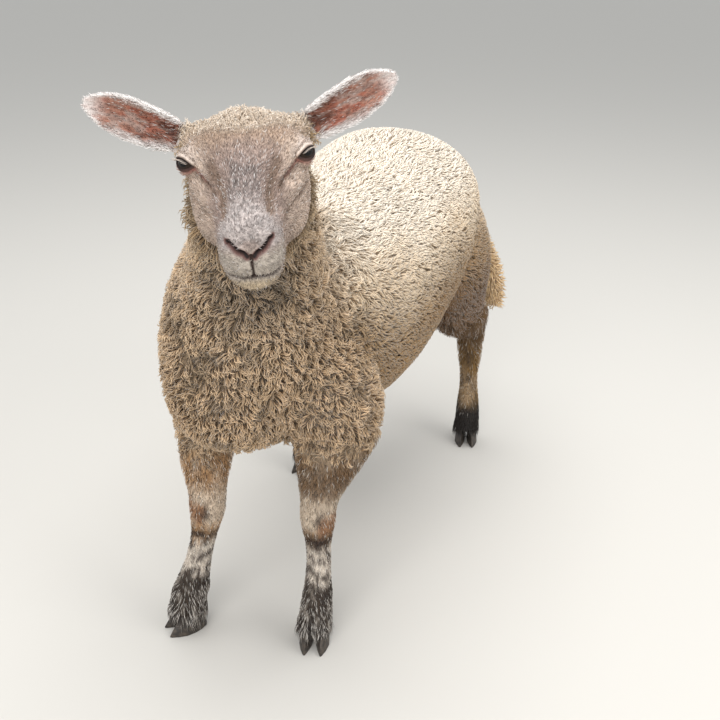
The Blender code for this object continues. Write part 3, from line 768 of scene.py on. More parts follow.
def leg_colour(points):
    """Brown above, a pale knee with rust and dark marks, a pale cannon with dark bars, a dark speckled foot.
    The hind legs are brown, with black feet."""
    x, y, z = points.T
    patch, fine, wide = noise(points, 0.016, 14), noise(points, 0.006, 15), noise(points, 0.030, 19)
    knee = np.where(x > 0, 0.222, 0.216)  # height of the knee's middle
    outward = outward_of_knee(points) + 0.010 * (patch - 0.5)
    front = layered("leg_brown", ("knee_pale", ramp(fine + patch, 0.9, 1.4) * 0.5))
    front = front * np.where(x > 0, 0.66, 1.25)[:, None]
    low = np.where(x > 0, 0.016, 0.004)  # the left knee's rust mark is lower
    rust = fade(np.abs(z - knee + low), 0.010, 0.020) * ramp(outward, -0.002, 0.008)
    dark = fade(np.hypot(outward - 0.003, (z - knee + 0.004) * 0.7) + 0.008 * (fine - 0.5), 0.002, 0.009)
    cannon = fade(z - knee, -0.058, -0.050)
    bars = ramp(np.sin((z + 0.016 * patch + 0.5 * np.abs(x - 0.014)) * 2 * pi / 0.019) + fine, 0.62, 1.0)
    foot = fade(z + 0.016 * (patch - 0.5), 0.094, 0.112)
    front = layered(
        front,
        ("knee_pale", 0.88 * fade(np.abs(z - knee - 0.002), 0.018, 0.034)),
        ("knee_rust", 0.85 * rust),
        ("knee_dark", 0.75 * dark),
        ("knee_dark", 0.95 * fade(np.abs(z - knee + 0.040 + 0.012 * wide), 0.004, 0.011)),
        ("cannon", cannon),
        ("knee_dark", 0.92 * bars * cannon),
        ("pastern", foot),
        ("cannon", 0.5 * foot * ramp(fine, 0.62, 0.8)),
    )
    hind = layered(
        "shank",
        ("knee_pale", ramp(wide + 0.6 * fine, 0.75, 1.05) * 0.30),
        ("knee_dark", ramp(patch + 0.5 * fine, 0.72, 1.02) * 0.6),
        ("thigh", 0.8 * ramp(z, 0.16, 0.25)),
        ("foot_black", fade(z + 0.012 * (patch - 0.5), 0.074, 0.088)),
    )
    colour = mix(front, hind, (y > BEHIND_FORELEGS).astype(float))
    # Painted shade in the cleft between the claws and up its furrow
    return layered(colour, ("foot_black", 0.8 * cleft_share(points) * (0.5 + fine)))


def markings(points, normals):
    """The colour of skin and coat alike at each point."""
    colour = mix(leg_colour(points), wool_colour(points, normals), wool_share(points))
    head = in_box(to_head(points), ((-0.2, -0.2, -0.12), (0.2, 0.12, 0.2)), 0)
    woolly = np.maximum(wool_share(points[head]), 0.8 * fuzz_share(points[head]))
    colour[head] = mix(face_colour(points[head]), wool_colour(points[head], normals[head]), woolly)
    ears = ear_share(points)
    on = ears > 0
    colour[on] = mix(colour[on], ear_colour(points[on], normals[on]), ears[on])
    return np.clip(colour, 0, 1)


def paint(mesh, colour):
    """Stores the coat's colour at each point, for the material to read."""
    attribute = mesh.attributes.new("coat_colour", "FLOAT_COLOR", "POINT")
    opaque = np.ones((len(colour), 4), np.float32)
    opaque[:, :3] = colour
    attribute.data.foreach_set("color", opaque.ravel())


# ---------------------------------------------------------------- materials


def fill(tree, node, inputs):
    """Sets a node's inputs, or links those whose value is another node's output."""
    for name, value in inputs.items():
        if isinstance(value, bpy.types.NodeSocket):
            tree.links.new(value, node.inputs[name])
        else:
            node.inputs[name].default_value = value


def add_node(tree, kind, inputs=None, **settings):
    """A node with its settings, and its inputs set or linked."""
    node = tree.nodes.new(kind)
    for name, value in settings.items():
        setattr(node, name, value)
    fill(tree, node, inputs or {})
    return node


def new_material(name, finish):
    """A material, its node tree and its shader, with this finish on the shader's own sockets."""
    material = bpy.data.materials.new(name)
    material.use_nodes = True
    surface = material.node_tree.nodes["Principled BSDF"]
    fill(material.node_tree, surface, finish)
    return material, material.node_tree, surface


def rgba(colour):
    """An sRGB hex colour as a socket takes it."""
    return (*linear(colour), 1.0)


def haired(name, scale, detail, tones, relief, finish):
    """Keratin over the painted colour: fibres finer than the mesh streak it, dark to light, and roughen it.
    Scale and detail are those of the streaks, which are coarser than real fibre so that they show. Relief
    is the strength and depth of their bump."""
    material, tree, surface = new_material(name, finish)
    place = add_node(tree, "ShaderNodeTexCoord")
    base = add_node(tree, "ShaderNodeAttribute", attribute_name="coat_colour")
    fibre = add_node(
        tree, "ShaderNodeTexNoise", {"Vector": place.outputs["Object"], "Scale": scale, "Detail": detail}
    ).outputs["Fac"]
    tone = add_node(
        tree,
        "ShaderNodeMapRange",
        {"Value": fibre, "From Min": 0.3, "From Max": 0.7, "To Min": tones[0], "To Max": tones[1]},
    )
    shade = add_node(
        tree,
        "ShaderNodeVectorMath",
        {0: base.outputs["Color"], "Scale": tone.outputs["Result"]},
        operation="SCALE",
    )
    bump = add_node(tree, "ShaderNodeBump", {"Strength": relief[0], "Distance": relief[1], "Height": fibre})
    fill(tree, surface, {"Base Color": shade.outputs[0], "Normal": bump.outputs["Normal"]})
    return material


def coat_materials():
    """Skin, wool and hair."""
    # Skin under short hair, streaked and roughened by hair finer than the tufts
    finish = {"Roughness": 0.75, "Specular IOR Level": 0.3}
    skin = haired("short-haired skin", 900, 3, (0.66, 1.08), (0.5, 0.0006), finish)
    # Shorn wool, greasy and matt, with a sheen where its scales scatter the light
    finish = {"Roughness": 0.95, "Specular IOR Level": 0.25, "Sheen Weight": 0.30}
    wool = haired("shorn wool", 1 / WOOL_STREAK, 2, (0.86, 1.14), (0.4, WOOL_STREAK / 4), finish)
    # Short hair, straighter and smoother than wool
    finish = {"Roughness": 0.75, "Specular IOR Level": 0.25, "Sheen Weight": 0.10}
    hair = haired("short hair", 1 / HAIR_STREAK, 2, (0.92, 1.08), (0.4, HAIR_STREAK / 4), finish)
    return skin, wool, hair


def horn_material():
    """Claw horn, grown in rings from the coronet and scuffed dull, with dried mud near the ground."""
    material, tree, surface = new_material("claw horn", {"Roughness": 0.5})
    place = add_node(tree, "ShaderNodeTexCoord").outputs["Object"]
    waves = {"Vector": place, "Scale": 130, "Distortion": 3, "Detail": 2}
    rings = add_node(tree, "ShaderNodeTexWave", waves, bands_direction="Z")
    mud = add_node(tree, "ShaderNodeTexNoise", {"Vector": place, "Scale": 160, "Detail": 4})
    colour = add_node(tree, "ShaderNodeValToRGB", {"Fac": mud.outputs["Fac"]})
    for stop, at, value in zip(colour.color_ramp.elements, (0.40, 0.68), ("#26211d", "#4c4238")):
        stop.color, stop.position = rgba(value), at
    relief = {"Strength": 0.4, "Distance": 0.0005, "Height": rings.outputs["Fac"]}
    bump = add_node(tree, "ShaderNodeBump", relief)
    fill(tree, surface, {"Base Color": colour.outputs["Color"], "Normal": bump.outputs["Normal"]})
    return material


def eye_material():
    """A wet eye: dark amber iris with a level slot for a pupil, under a glossy cornea."""
    ball = {"Roughness": 0.5, "IOR": 1.34, "Specular IOR Level": 0.2}
    cornea = {"Coat Weight": 0.4, "Coat IOR": 1.34, "Coat Roughness": 0.03}
    material, tree, surface = new_material("wet eye", ball | cornea)
    gaze = add_node(tree, "ShaderNodeAttribute", attribute_name="gaze").outputs["Vector"]
    parts = add_node(tree, "ShaderNodeSeparateXYZ", {"Vector": gaze})
    wide, tall = (
        add_node(tree, "ShaderNodeMath", {0: parts.outputs[axis], 1: 2.0}, operation="POWER").outputs[0]
        for axis in "XY"
    )
    both = add_node(tree, "ShaderNodeMath", {0: wide, 1: tall}, operation="ADD").outputs[0]
    reach = add_node(tree, "ShaderNodeMath", {0: both}, operation="SQRT").outputs[0]
    slot = add_node(tree, "ShaderNodeMath", {0: tall, 1: 5.0, 2: wide}, operation="MULTIPLY_ADD").outputs[0]
    pupil = add_node(tree, "ShaderNodeMapRange", {"Value": slot, "From Min": 0.13, "From Max": 0.20})
    fibres = add_node(tree, "ShaderNodeTexNoise", {"Vector": gaze, "Scale": 9, "Detail": 3})
    iris = add_node(tree, "ShaderNodeValToRGB", {"Fac": fibres.outputs["Fac"]})
    for stop, value in zip(iris.color_ramp.elements, ("#0e0805", "#2e1f12")):
        stop.color = rgba(value)
    limbus = add_node(tree, "ShaderNodeMapRange", {"Value": reach, "From Min": 0.60, "From Max": 0.70})
    # Inputs 6 and 7 are the two colours that a mix goes between.
    layers = {0: pupil.outputs["Result"], 6: rgba("#050404"), 7: iris.outputs["Color"]}
    inner = add_node(tree, "ShaderNodeMix", layers, data_type="RGBA").outputs[2]
    layers = {0: limbus.outputs["Result"], 6: inner, 7: rgba("#120c0a")}
    fill(tree, surface, {"Base Color": add_node(tree, "ShaderNodeMix", layers, data_type="RGBA").outputs[2]})
    return material


# ---------------------------------------------------------------- strands


def strand_template(rings):
    """A three-sided strand of that many rings and a point, shaped once, then bent and copied by the thousand.
    Gives each vertex's ring and corner, and the faces."""
    shape = bmesh.new()
    bmesh.ops.create_cone(shape, segments=3, radius1=1, radius2=1, depth=rings, cap_ends=True)
    upright = [edge for edge in shape.edges if abs(edge.verts[0].co.z - edge.verts[1].co.z) > 0.5]
    bmesh.ops.subdivide_edges(shape, edges=upright, cuts=rings - 1, use_grid_fill=True)
    top = [vertex for vertex in shape.verts if vertex.co.z > rings / 2 - 0.1]
    bmesh.ops.pointmerge(shape, verts=top, merge_co=(0, 0, rings / 2))
    shape.verts.index_update()
    ring = np.array([round(vertex.co.z + rings / 2) for vertex in shape.verts])
    angle = np.array([np.arctan2(vertex.co.y, vertex.co.x) for vertex in shape.verts])
    faces = [[vertex.index for vertex in face.verts] for face in shape.faces]
    shape.free()
    return ring, angle, faces


def strand_mesh(name, template, style, bent, root_map):
    """Joins strands along these centre lines into one mesh. The centre lines are strands x rings x 3."""
    ring, angle, faces = template
    centres, side, third, radius = bent
    count, rings = centres.shape[:2]
    wide = radius[:, ring] * np.cos(angle)
    tall = radius[:, ring] * np.sin(angle)
    points = centres[:, ring] + side[:, ring] * wide[..., None] + third[:, ring] * tall[..., None]
    corners = np.concatenate(faces)
    sizes = np.array([len(face) for face in faces])
    step = len(ring)
    loops = (corners[None] + step * np.arange(count)[:, None]).ravel()
    starts = np.concatenate([[0], np.cumsum(np.tile(sizes, count))[:-1]])
    mesh = bpy.data.meshes.new(name)
    mesh.vertices.add(count * step)
    mesh.vertices.foreach_set("co", points.astype(np.float32).ravel())
    mesh.loops.add(len(loops))
    mesh.loops.foreach_set("vertex_index", loops.astype(np.int32))
    mesh.polygons.add(len(starts))
    mesh.polygons.foreach_set("loop_start", starts.astype(np.int32))
    mesh.update(calc_edges=True)
    mesh.shade_smooth()
    # Painted shade along each strand: its colour is scaled by root at the root, darkening it where the
    # strands shade each other (a root above 1 lightens it instead, as painted light), and by tip at the tip
    rise = (ring / (rings - 1))[None, :, None] ** 0.8
    root = style["colour"] * style["root"][:, None] * style["stain"]
    painted = mix(root[:, None], (style["colour"] * style["tip"][:, None])[:, None], rise)
    paint(mesh, np.clip(painted.reshape(-1, 3), 0, 1))
    across = np.round((angle[corners] + pi) / (2 * pi) * 3) / 3
    patch = np.stack([across, ring[corners] / (rings - 1)], axis=1) * PATCH
    uv = (root_map[:, None] * (1 - PATCH) + patch[None]).astype(np.float32)
    layer = mesh.uv_layers.new(name="OFBake")
    layer.uv.foreach_set("vector", uv.ravel())
    return mesh


def bent_strands(style, rings, rng):
    """Centre lines that rise from the skin, lean over along the lie and curl, drawn to their clump."""
    roots, normals, lie = style["roots"], style["normals"], style["lie"]
    share = np.linspace(0, 1, rings + 1)
    across = np.cross(normals, lie)
    lean = style["length"][:, None] * share**1.5
    lift = style["lift"][:, None] * np.sin(np.minimum(share / style["peak"][:, None], 1) * pi / 2)
    centres = roots[:, None] + lie[:, None] * lean[..., None] + normals[:, None] * lift[..., None]
    turn = style["phase"][:, None] + 2 * pi * style["turns"][:, None] * share
    curl = style["curl"][:, None] * share**0.7
    sideways, forward = (curl * np.sin(turn))[..., None], (curl * np.cos(turn))[..., None]
    centres += lie[:, None] * forward + across[:, None] * sideways
    centres += style["pull"][:, None] * (share**1.2)[:, None]
    tangent = unit(np.gradient(centres, axis=1))
    side = unit(across[:, None] - tangent * dot(across[:, None], tangent)[..., None])
    third = np.cross(tangent, side) * style["flat"][:, None, None]
    profile = np.interp(share, (0, 0.3, 0.7, 0.9, 1.0), (0.75, 1.0, 0.85, 0.5, 0.0))
    radius = style["width"][:, None] * profile[None] * rng.uniform(0.75, 1.25, (len(roots), 1))
    return centres, side, third, radius


def joined(name, rings, style, root_map, rng, chosen=slice(None)):
    """One object of the chosen strands. A value in style is a number or has one entry for each strand.

    The strands have roots, normals and a lie. They reach length along the lie and lift off the skin, level
    from peak on, a share of the way out. Curl is the radius of their turns, pull the way to their clump's
    middle, and flat their thickness for a width of 1. Root, tip and stain change their colour."""
    style = {key: value[chosen] if np.ndim(value) else value for key, value in style.items()}
    count = len(style["roots"])
    phase, pull, stain = rng.uniform(0, 2 * pi, count), np.zeros((count, 3)), np.ones((count, 3))
    whole = {"curl": 0.0003, "turns": 0.5, "phase": phase, "pull": pull, "stain": stain}
    # A root below 1 is painted shade at the strands' roots
    whole.update({"peak": 0.83, "flat": 0.75, "root": 0.75, "tip": 1.05}, **style)
    whole = {key: value if np.ndim(value) else np.full(count, value) for key, value in whole.items()}
    bent = bent_strands(whole, rings, rng)
    return put(name, strand_mesh(name, strand_template(rings), whole, bent, root_map))


def unwrapped(points, axis, centre):
    """Places on a map of the skin rolled off round an axis, filling 0 to 1."""
    axis = unit(np.array(axis, float))
    start = unit(np.cross(axis, (0.31, 0.17, 0.93)))
    away = points - centre
    angle = np.arctan2(away @ np.cross(axis, start), away @ start)
    # The map is cut open where there are no roots, or the fewest.
    counts, _ = np.histogram(angle, 24, (-pi, pi))
    cut = -pi + (np.argmin(counts) + 0.5) * 2 * pi / 24
    flat = np.stack([(angle - cut) % (2 * pi), away @ axis], axis=1)
    low, high = flat.min(axis=0), flat.max(axis=0)
    return (flat - low) / (high - low)


def clumped(roots, warped, cell, rng):
    """For each root, its clump's middle and number. Clumps are cell metres apart among the warped places."""
    few = max(8, int(len(roots) * WOOL_SPACING**2 / cell**2))
    chosen = rng.choice(len(roots), few, replace=False)
    tree = kdtree.KDTree(few)
    for i, spot in enumerate(chosen):
        tree.insert(warped[spot], i)
    tree.balance()
    nearest = np.array([tree.find(spot)[1] for spot in warped])
    return roots[chosen][nearest], nearest


def wool_lie(points, normals):
    """Wool hangs down the breast and neck, and lies back and down along the sides."""
    back = ramp(points[:, 1], -0.26, -0.05)
    downward = np.stack([np.zeros(len(points)), 0.15 + 0.85 * back, -1 + 0.55 * back], axis=1)
    return flattened(downward + 1.1 * sway(points, 0.03, 21), normals)


def turned(lie, normals, angle):
    """The lie, turned about the normal by an angle in radians."""
    return lie * np.cos(angle)[:, None] + np.cross(normals, lie) * np.sin(angle)[:, None]


def wool_style(roots, facing, front, rng):
    """How each lock lies, rises, curls and clumps: curly in front, felted into level ridges behind."""
    count = len(roots)
    poll, back = poll_share(roots), ramp(facing[:, 2], 0.3, 0.9) * (1 - front)
    wander = 0.014 * (noise(roots, 0.035, 31) - 0.5)
    ridges, ridge_of = clumped(roots, roots * (1, 0.22, 1) + wander[:, None], RIDGE_SIZE, rng)
    curls, curl_of = clumped(roots, roots, CURL_SIZE, rng)
    wander = 0.012 * (noise(roots, 0.015, 35) - 0.5)
    knots, knot_of = clumped(roots, roots + wander[:, None], KNOT_SIZE, rng)
    knot_edge = front * ramp(np.linalg.norm(roots - knots, axis=1) / KNOT_SIZE, 0.30, 0.80)
    knot_turn = rng.uniform(-1, 1, count)[knot_of]
    curly = front > rng.uniform(0.3, 0.7, count)
    middle = np.where(curly[:, None], curls, ridges * (1, 0, 1) + roots * (0, 1, 0))
    own = np.where(curly, curl_of + count, ridge_of)
    by_clump, second = rng.uniform(size=(2, 2 * count))[:, own]
    pull = middle - roots
    pull -= facing * dot(pull, facing)[:, None]
    gap = ramp(np.linalg.norm(pull, axis=1) / np.where(curly, CURL_SIZE, RIDGE_SIZE), 0.25, 0.75)
    turn = (by_clump - 0.5) * mix(0.7, 2.4, front) + knot_turn * front + rng.normal(0, 0.28, count)
    behind, height = behind_line(roots), to_head(roots)[:, 2]
    ruff = ramp(behind, -0.004, 0.006) * fade(behind, 0.020, 0.055) * fade(height, -0.040, -0.022)
    tuft, cloud = noise(roots, 0.012, 33), noise(roots, 0.022, 34)
    length = mix(mix(0.0165, 0.0085, front), 0.0065, poll) * (1 + 0.9 * ruff) * rng.uniform(0.7, 1.3, count)
    rise = mix(0.88, 0.70, front) + mix(0.06, 0.16, front) * second
    rise = rise + mix(0.025, 0.05, front) * rng.normal(size=count)
    lift = fleece_depth(roots) * fleece_growth(roots) * rise * (1 + 1.9 * ruff)
    turns = mix(0.7, 1.15, front) * rng.uniform(0.8, 1.2, count)
    phase = by_clump * 2 * pi + rng.normal(0, 0.40, count)
    shade = mix(0.94, 0.84, front) + mix(0.10, 0.30, front) * by_clump
    lumps = mix(1.0, 0.84 + 0.34 * tuft, front) * mix(0.90 + 0.20 * cloud, 1.0, front)
    shadow = (1 - gap * mix(0.08, 0.12, front)) * (1 - 0.34 * knot_edge) * (1 - 0.30 * ruff)
    shadow = shadow * rng.uniform(0.92, 1.07, count)
    return {
        "roots": roots,
        "normals": facing,
        "lie": turned(wool_lie(roots, facing), facing, turn),
        "length": length,
        "lift": lift * mix(1.0, 0.88 + 0.30 * tuft, front) * (1 - 0.30 * knot_edge),
        "peak": mix(0.55, 0.85, front),
        "width": mix(mix(0.00138, 0.00092, front), 0.0008, poll),
        "flat": mix(0.38, 0.8, front),
        "curl": mix(mix(0.0010, 0.0022, front), 0.0014, thin_share(roots)),
        "turns": turns,
        "phase": phase,
        "pull": pull * (mix(mix(0.25, 0.13, back), 0.62, front) * (1 - 0.5 * poll))[:, None],
        # Painted shade darkens the roots of the curls in front; on the back, painted light lifts the roots
        # above the wool's own colour
        "root": mix(mix(1.0, 1.08, back), 0.62, front),
        "tip": mix(1.03, 1.06, front),
        "stain": mix(np.ones(3), WOOL_STAIN, mix(0.25, 1.0, front)),
        "colour": wool_colour(roots, facing) * shade[:, None] * lumps[:, None] * shadow[:, None],
    }


def wool_pieces(form, rng):
    """The fleece, in pieces down each side, grown from an even net laid over the skin."""
    bed = modified(put("bed", form.mesh.copy()), "REMESH", mode="VOXEL", voxel_size=WOOL_SPACING)
    net = Net(bed)
    normals = unit(net.spread(net.normals(), 3))
    corners = read(bed.loops, "vertex_index", 1, np.int32).reshape(-1, 4)
    across, up = rng.uniform(0.1, 0.9, (2, len(corners), 1))
    weights = ((1 - across) * (1 - up), across * (1 - up), across * up, (1 - across) * up)
    roots, facing = (
        sum(values[corners[:, i]] * weight for i, weight in enumerate(weights))
        for values in (net.points, normals)
    )
    front = ramp(-roots[:, 1] + 0.03 * (noise(roots, 0.04, 32) - 0.5), 0.10, 0.19)
    chance = wool_share(roots) * (1 - fuzz_share(roots)) * mix(0.655, 0.99, ramp(front, 0.0, 0.6))
    growing = rng.uniform(size=len(roots)) < chance
    roots, facing, front = roots[growing], unit(facing)[growing], front[growing]
    style = wool_style(roots, facing, front, rng)

    left, band = roots[:, 0] > 0, np.digitize(roots[:, 1], (-0.19, 0.0, 0.20))
    head = poll_share(roots) > 0.3
    tail = in_box(roots, TAIL_BOX, 0.002) & ~head
    bands = {"ruff": head, "tail": tail}
    for i, name in enumerate(("breast", "shoulder", "flank", "rump")):
        bands[name] = ~head & ~tail & (band == i)
    axes = {"tail": (0, 0.2, -1), "breast": (0, 1, -0.6)}
    pieces = []
    for name, inside in bands.items():
        whole = name in ("ruff", "tail")
        sides = {"": inside} if whole else {"_left": inside & left, "_right": inside & ~left}
        for side, chosen in sides.items():
            root_map = unwrapped(roots[chosen], axes.get(name, (0, 1, 0)), roots[inside].mean(axis=0))
            pieces.append(joined(f"wool_{name}{side}", 3, style, root_map, rng, chosen))
    return pieces


def scattered(mesh, share, density, rng):
    """Even random points on a mesh, by a share for each of its vertices: places, smooth normals, paint."""
    mesh.calc_loop_triangles()
    corners = read(mesh.loop_triangles, "vertices", 3, np.int32)
    points, normals = read(mesh.vertices, "co", 3), read(mesh.vertex_normals, "vector", 3)
    colour = read(mesh.attributes["coat_colour"].data, "color", 4)[:, :3]
    share = share[corners].mean(axis=1)
    corners, share = corners[share > 0.02], share[share > 0.02]
    a, b, c = (points[corners[:, i]] for i in range(3))
    total = np.cumsum(np.linalg.norm(np.cross(b - a, c - a), axis=1) / 2 * share)
    count = int(total[-1] * density)
    picks = (np.arange(count) + rng.uniform(size=count)) / density
    found = corners[np.minimum(np.searchsorted(total, picks), len(corners) - 1)]
    u, v = rng.uniform(size=(2, len(found), 1))
    over = u + v > 1
    u, v = np.where(over, 1 - u, u), np.where(over, 1 - v, v)
    weights = (1 - u - v, u, v)
    spots, facing, colour = (
        sum(values[found[:, i]] * weight for i, weight in enumerate(weights))
        for values in (points, normals, colour)
    )
    return spots, unit(facing), colour


def speckled(colour, rng, pale, dark, pale_share, dark_share):
    """Single tufts of a paler or darker hair. The shares are numbers or have one entry for each tuft."""
    chance = rng.uniform(size=len(colour))
    colour = np.where((chance < pale_share)[:, None], mix(colour, linear(pale), 0.65), colour)
    colour = np.where((chance > 1 - dark_share)[:, None], mix(colour, linear(dark), 0.6), colour)
    return colour * rng.uniform(0.90, 1.08, len(colour))[:, None]


def face_pieces(skin, clear, rng):
    """Short flat hair, swept up and back from the nose."""
    points = read(skin.data.vertices, "co", 3)
    on_head = in_box(to_head(points), ((-0.09, -0.16, -0.13), (0.09, 0.11, 0.09)), 0)
    share = (1 - wool_share(points)) * (1 - (ear_share(points) > 0.5)) * clear * on_head
    roots, normals, colour = scattered(skin.data, share, FACE_DENSITY, rng)
    local = to_head(roots)
    flow = np.stack([local[:, 0] * 6, np.ones(len(local)), (local[:, 2] + 0.03) * 5], axis=1)
    flow[:, 2] -= 0.6 * (local[:, 2] < -0.05)
    lie = flattened(flow @ TURN.T + 0.8 * sway(roots, 0.012, 41) + rng.normal(0, 0.14, roots.shape), normals)
    muzzle = fade(local[:, 1], -0.125, -0.085)
    top = fade(np.abs(local[:, 0]), 0.014, 0.030) * ramp(local[:, 2], -0.030, -0.005)
    grizzle = top * fade(local[:, 1], -0.070, -0.035)
    pale, dark = 0.05 + 0.11 * grizzle, 0.22 + 0.06 * grizzle - 0.08 * muzzle
    colour = speckled(colour, rng, "#f4eeea", "#5c4c40", pale, dark)
    style = {
        "roots": roots,
        "normals": normals,
        "lie": lie,
        "length": mix(0.0050, 0.0028, muzzle) * rng.uniform(0.7, 1.3, len(roots)),
        "lift": mix(0.0014, 0.0009, muzzle) * rng.uniform(0.5, 1.5, len(roots)),
        "width": mix(0.00034, 0.00030, muzzle),
        "colour": colour,
    }
    pieces = []
    for name, chosen in (("left", local[:, 0] > 0), ("right", local[:, 0] <= 0)):
        root_map = unwrapped(local[chosen], *HEAD_UNWRAP)
        pieces.append(joined(f"face_hair_{name}", 2, style, root_map, rng, chosen))
    return pieces


def fuzz_piece(skin, rng):
    """The poll's short curly wool, thinning out over the forehead."""
    share = fuzz_share(read(skin.data.vertices, "co", 3))
    roots, normals, colour = scattered(skin.data, share, FUZZ_DENSITY, rng)
    growth, count = fleece_growth(roots), len(roots)
    style = {
        "roots": roots,
        "normals": normals,
        "lie": flattened(rng.normal(0, 1, roots.shape) + 0.8 * (TURN @ np.array((0, 1.0, 0.3))), normals),
        "length": mix(0.0045, 0.0060, growth) * rng.uniform(0.7, 1.4, count),
        "lift": mix(0.0030, FLEECE_THIN * 1.35, growth) * rng.uniform(0.5, 1.3, count),
        "width": mix(0.00042, 0.00056, growth),
        "curl": mix(0.0010, 0.0020, growth),
        "turns": rng.uniform(0.8, 1.4, count),
        # Painted shade at the fuzz's roots
        "root": 0.60,
        "tip": 1.10,
        "colour": speckled(colour, rng, "#fbf0e2", "#8b6d52", 0.15, 0.15),
    }
    return joined("poll_fuzz", 4, style, unwrapped(to_head(roots), *HEAD_UNWRAP), rng)


def lash_piece(side, rng):
    """Pale lashes along the upper lid's edge."""
    lids, share = LIDS[side], np.linspace(-0.85, 0.95, 46)
    height = (1 - share**2) * LID_ABOVE + 0.0006
    local = lids.slit * (share * SLIT_HALF)[:, None] + lids.up * height[:, None]
    local += lids.look * np.sqrt((EYE_RADIUS + 0.0014) ** 2 - (local**2).sum(axis=1))[:, None]
    lie = lids.look + 0.45 * lids.up + lids.slit * (0.35 + 0.5 * share)[:, None]
    lie = unit((lie + rng.normal(0, 0.12, local.shape)) @ TURN.T)
    roots = from_head(local + lids.centre)
    style = {
        "roots": roots,
        "normals": unit(np.cross(np.cross(lie, (lids.up * -1) @ TURN.T), lie)),
        "lie": lie,
        "length": rng.uniform(0.0045, 0.0075, len(roots)),
        "lift": 0.0012,
        "width": 0.00022,
        "colour": linear("#cfc1b5"),
    }
    root_map = np.stack([(share + 1) / 2, np.full(len(roots), 0.5)], axis=1)
    return joined(f"lashes_{SIDES[side]}", 2, style, root_map, rng)


def ear_pieces(skin, rng):
    """Flat hair over the back of each ear, a pale fringe on the rim and a few long hairs in the hollow."""
    points = read(skin.data.vertices, "co", 3)
    on_ear = (ear_share(points) > 0.3).astype(float)
    pieces = []
    for side in (1, -1):
        _, axis, width, _ = ear_frame(side)
        share = on_ear * (to_head(points)[:, 0] * side > 0)
        roots, normals, colour = scattered(skin.data, share, EAR_DENSITY, rng)
        along, across, aside, facing = ear_places(roots, normals)
        rim = bell(facing, 0.40) * ramp(aside, 0.35, 0.8)
        band = ramp(aside, 0.45, 0.85) * (facing > 0)
        outward = axis[None] + width[None] * (np.sign(across) * np.maximum(rim, 0.8 * band) * 0.22)[:, None]
        lie = flattened(outward @ TURN.T + rng.normal(0, 0.15, roots.shape), normals)
        hollow = ramp(facing, 0.3, 0.8) * fade(along, 0.15, 0.75)
        length = 0.0033 + 0.0008 * rim + 0.0010 * band + 0.0050 * hollow * rng.uniform(size=len(roots))
        root_map = np.clip(np.stack([across / 0.06 + 0.5, along], axis=1), 0, 1) * (0.48, 1.0)
        root_map += np.where(facing[:, None] > 0, (0.0, 0.0), (0.5, 0.0))
        keep = (facing < 0.45) | (rng.uniform(size=len(roots)) < np.maximum(0.5, band))
        pale = mix(0.10, 0.6, np.maximum(rim, band))
        style = {
            "roots": roots,
            "normals": normals,
            "lie": lie,
            "length": length * rng.uniform(0.7, 1.3, len(roots)),
            "lift": mix(0.0007, 0.0022, hollow) * rng.uniform(0.5, 1.5, len(roots)),
            "width": 0.00036,
            "colour": speckled(colour, rng, "#faf5f1", "#8b7b73", pale, 0.08),
        }
        pieces.append(joined(f"ear_hair_{SIDES[side]}", 2, style, np.clip(root_map, 0, 1)[keep], rng, keep))
    return pieces


def leg_pieces(skin, rng):
    """Short hair down the legs, longer on the feet and shaggy on the hind legs."""
    points = read(skin.data.vertices, "co", 3)
    pieces = []
    for leg, around in LEG_AROUND.items():
        share = in_box(points, around, 0.008) * (1 - wool_share(points))
        roots, normals, colour = scattered(skin.data, share, LEG_DENSITY, rng)
        height, count = roots[:, 2], len(roots)
        cannon = fade(height, 0.225, 0.260) * ramp(height, 0.080, 0.110)
        foot, coronet = fade(height, 0.060, 0.100), fade(height, 0.034, 0.060)
        upper, ahead = ramp(height, 0.235, 0.275), ramp(-normals[:, 1], 0.0, 0.8)
        shag = ramp(height, 0.12, 0.20) * ("hind" in leg)
        length = mix(0.0080, 0.0055, cannon) + 0.0130 * coronet + 0.0070 * shag
        length *= rng.uniform(0.7, 1.3, count)
        length *= 1 - 0.8 * ramp(-normals[:, 2], 0.5, 0.85)
        down = np.array((0, 0, -1.0)) + 0.7 * sway(roots, 0.014, 44)
        lift = mix(mix(0.0015, 0.0019, foot), 0.0042, upper) + 0.0050 * coronet * ahead + 0.0060 * shag
        pale = mix(0.09, 0.34 if "fore" in leg else 0.01, foot)
        style = {
            "roots": roots,
            "normals": normals,
            "lie": flattened(down + rng.normal(0, 0.16, roots.shape), normals),
            "length": np.clip(length, 0.001, np.maximum(height - 0.006, 0.001)),
            "lift": lift * rng.uniform(0.6, 1.4, count),
            "curl": mix(0.0003, 0.0013, upper),
            "width": 0.00052,
            "colour": speckled(colour, rng, "#f0e8de", "#2a2019", pale, 0.18),
        }
        root_map = unwrapped(roots, (0, 0, 1), (around[0] + around[1]) / 2)
        pieces.append(joined(f"leg_hair_{leg}", 2, style, root_map, rng))
    return pieces


# ---------------------------------------------------------------- eyes and claws


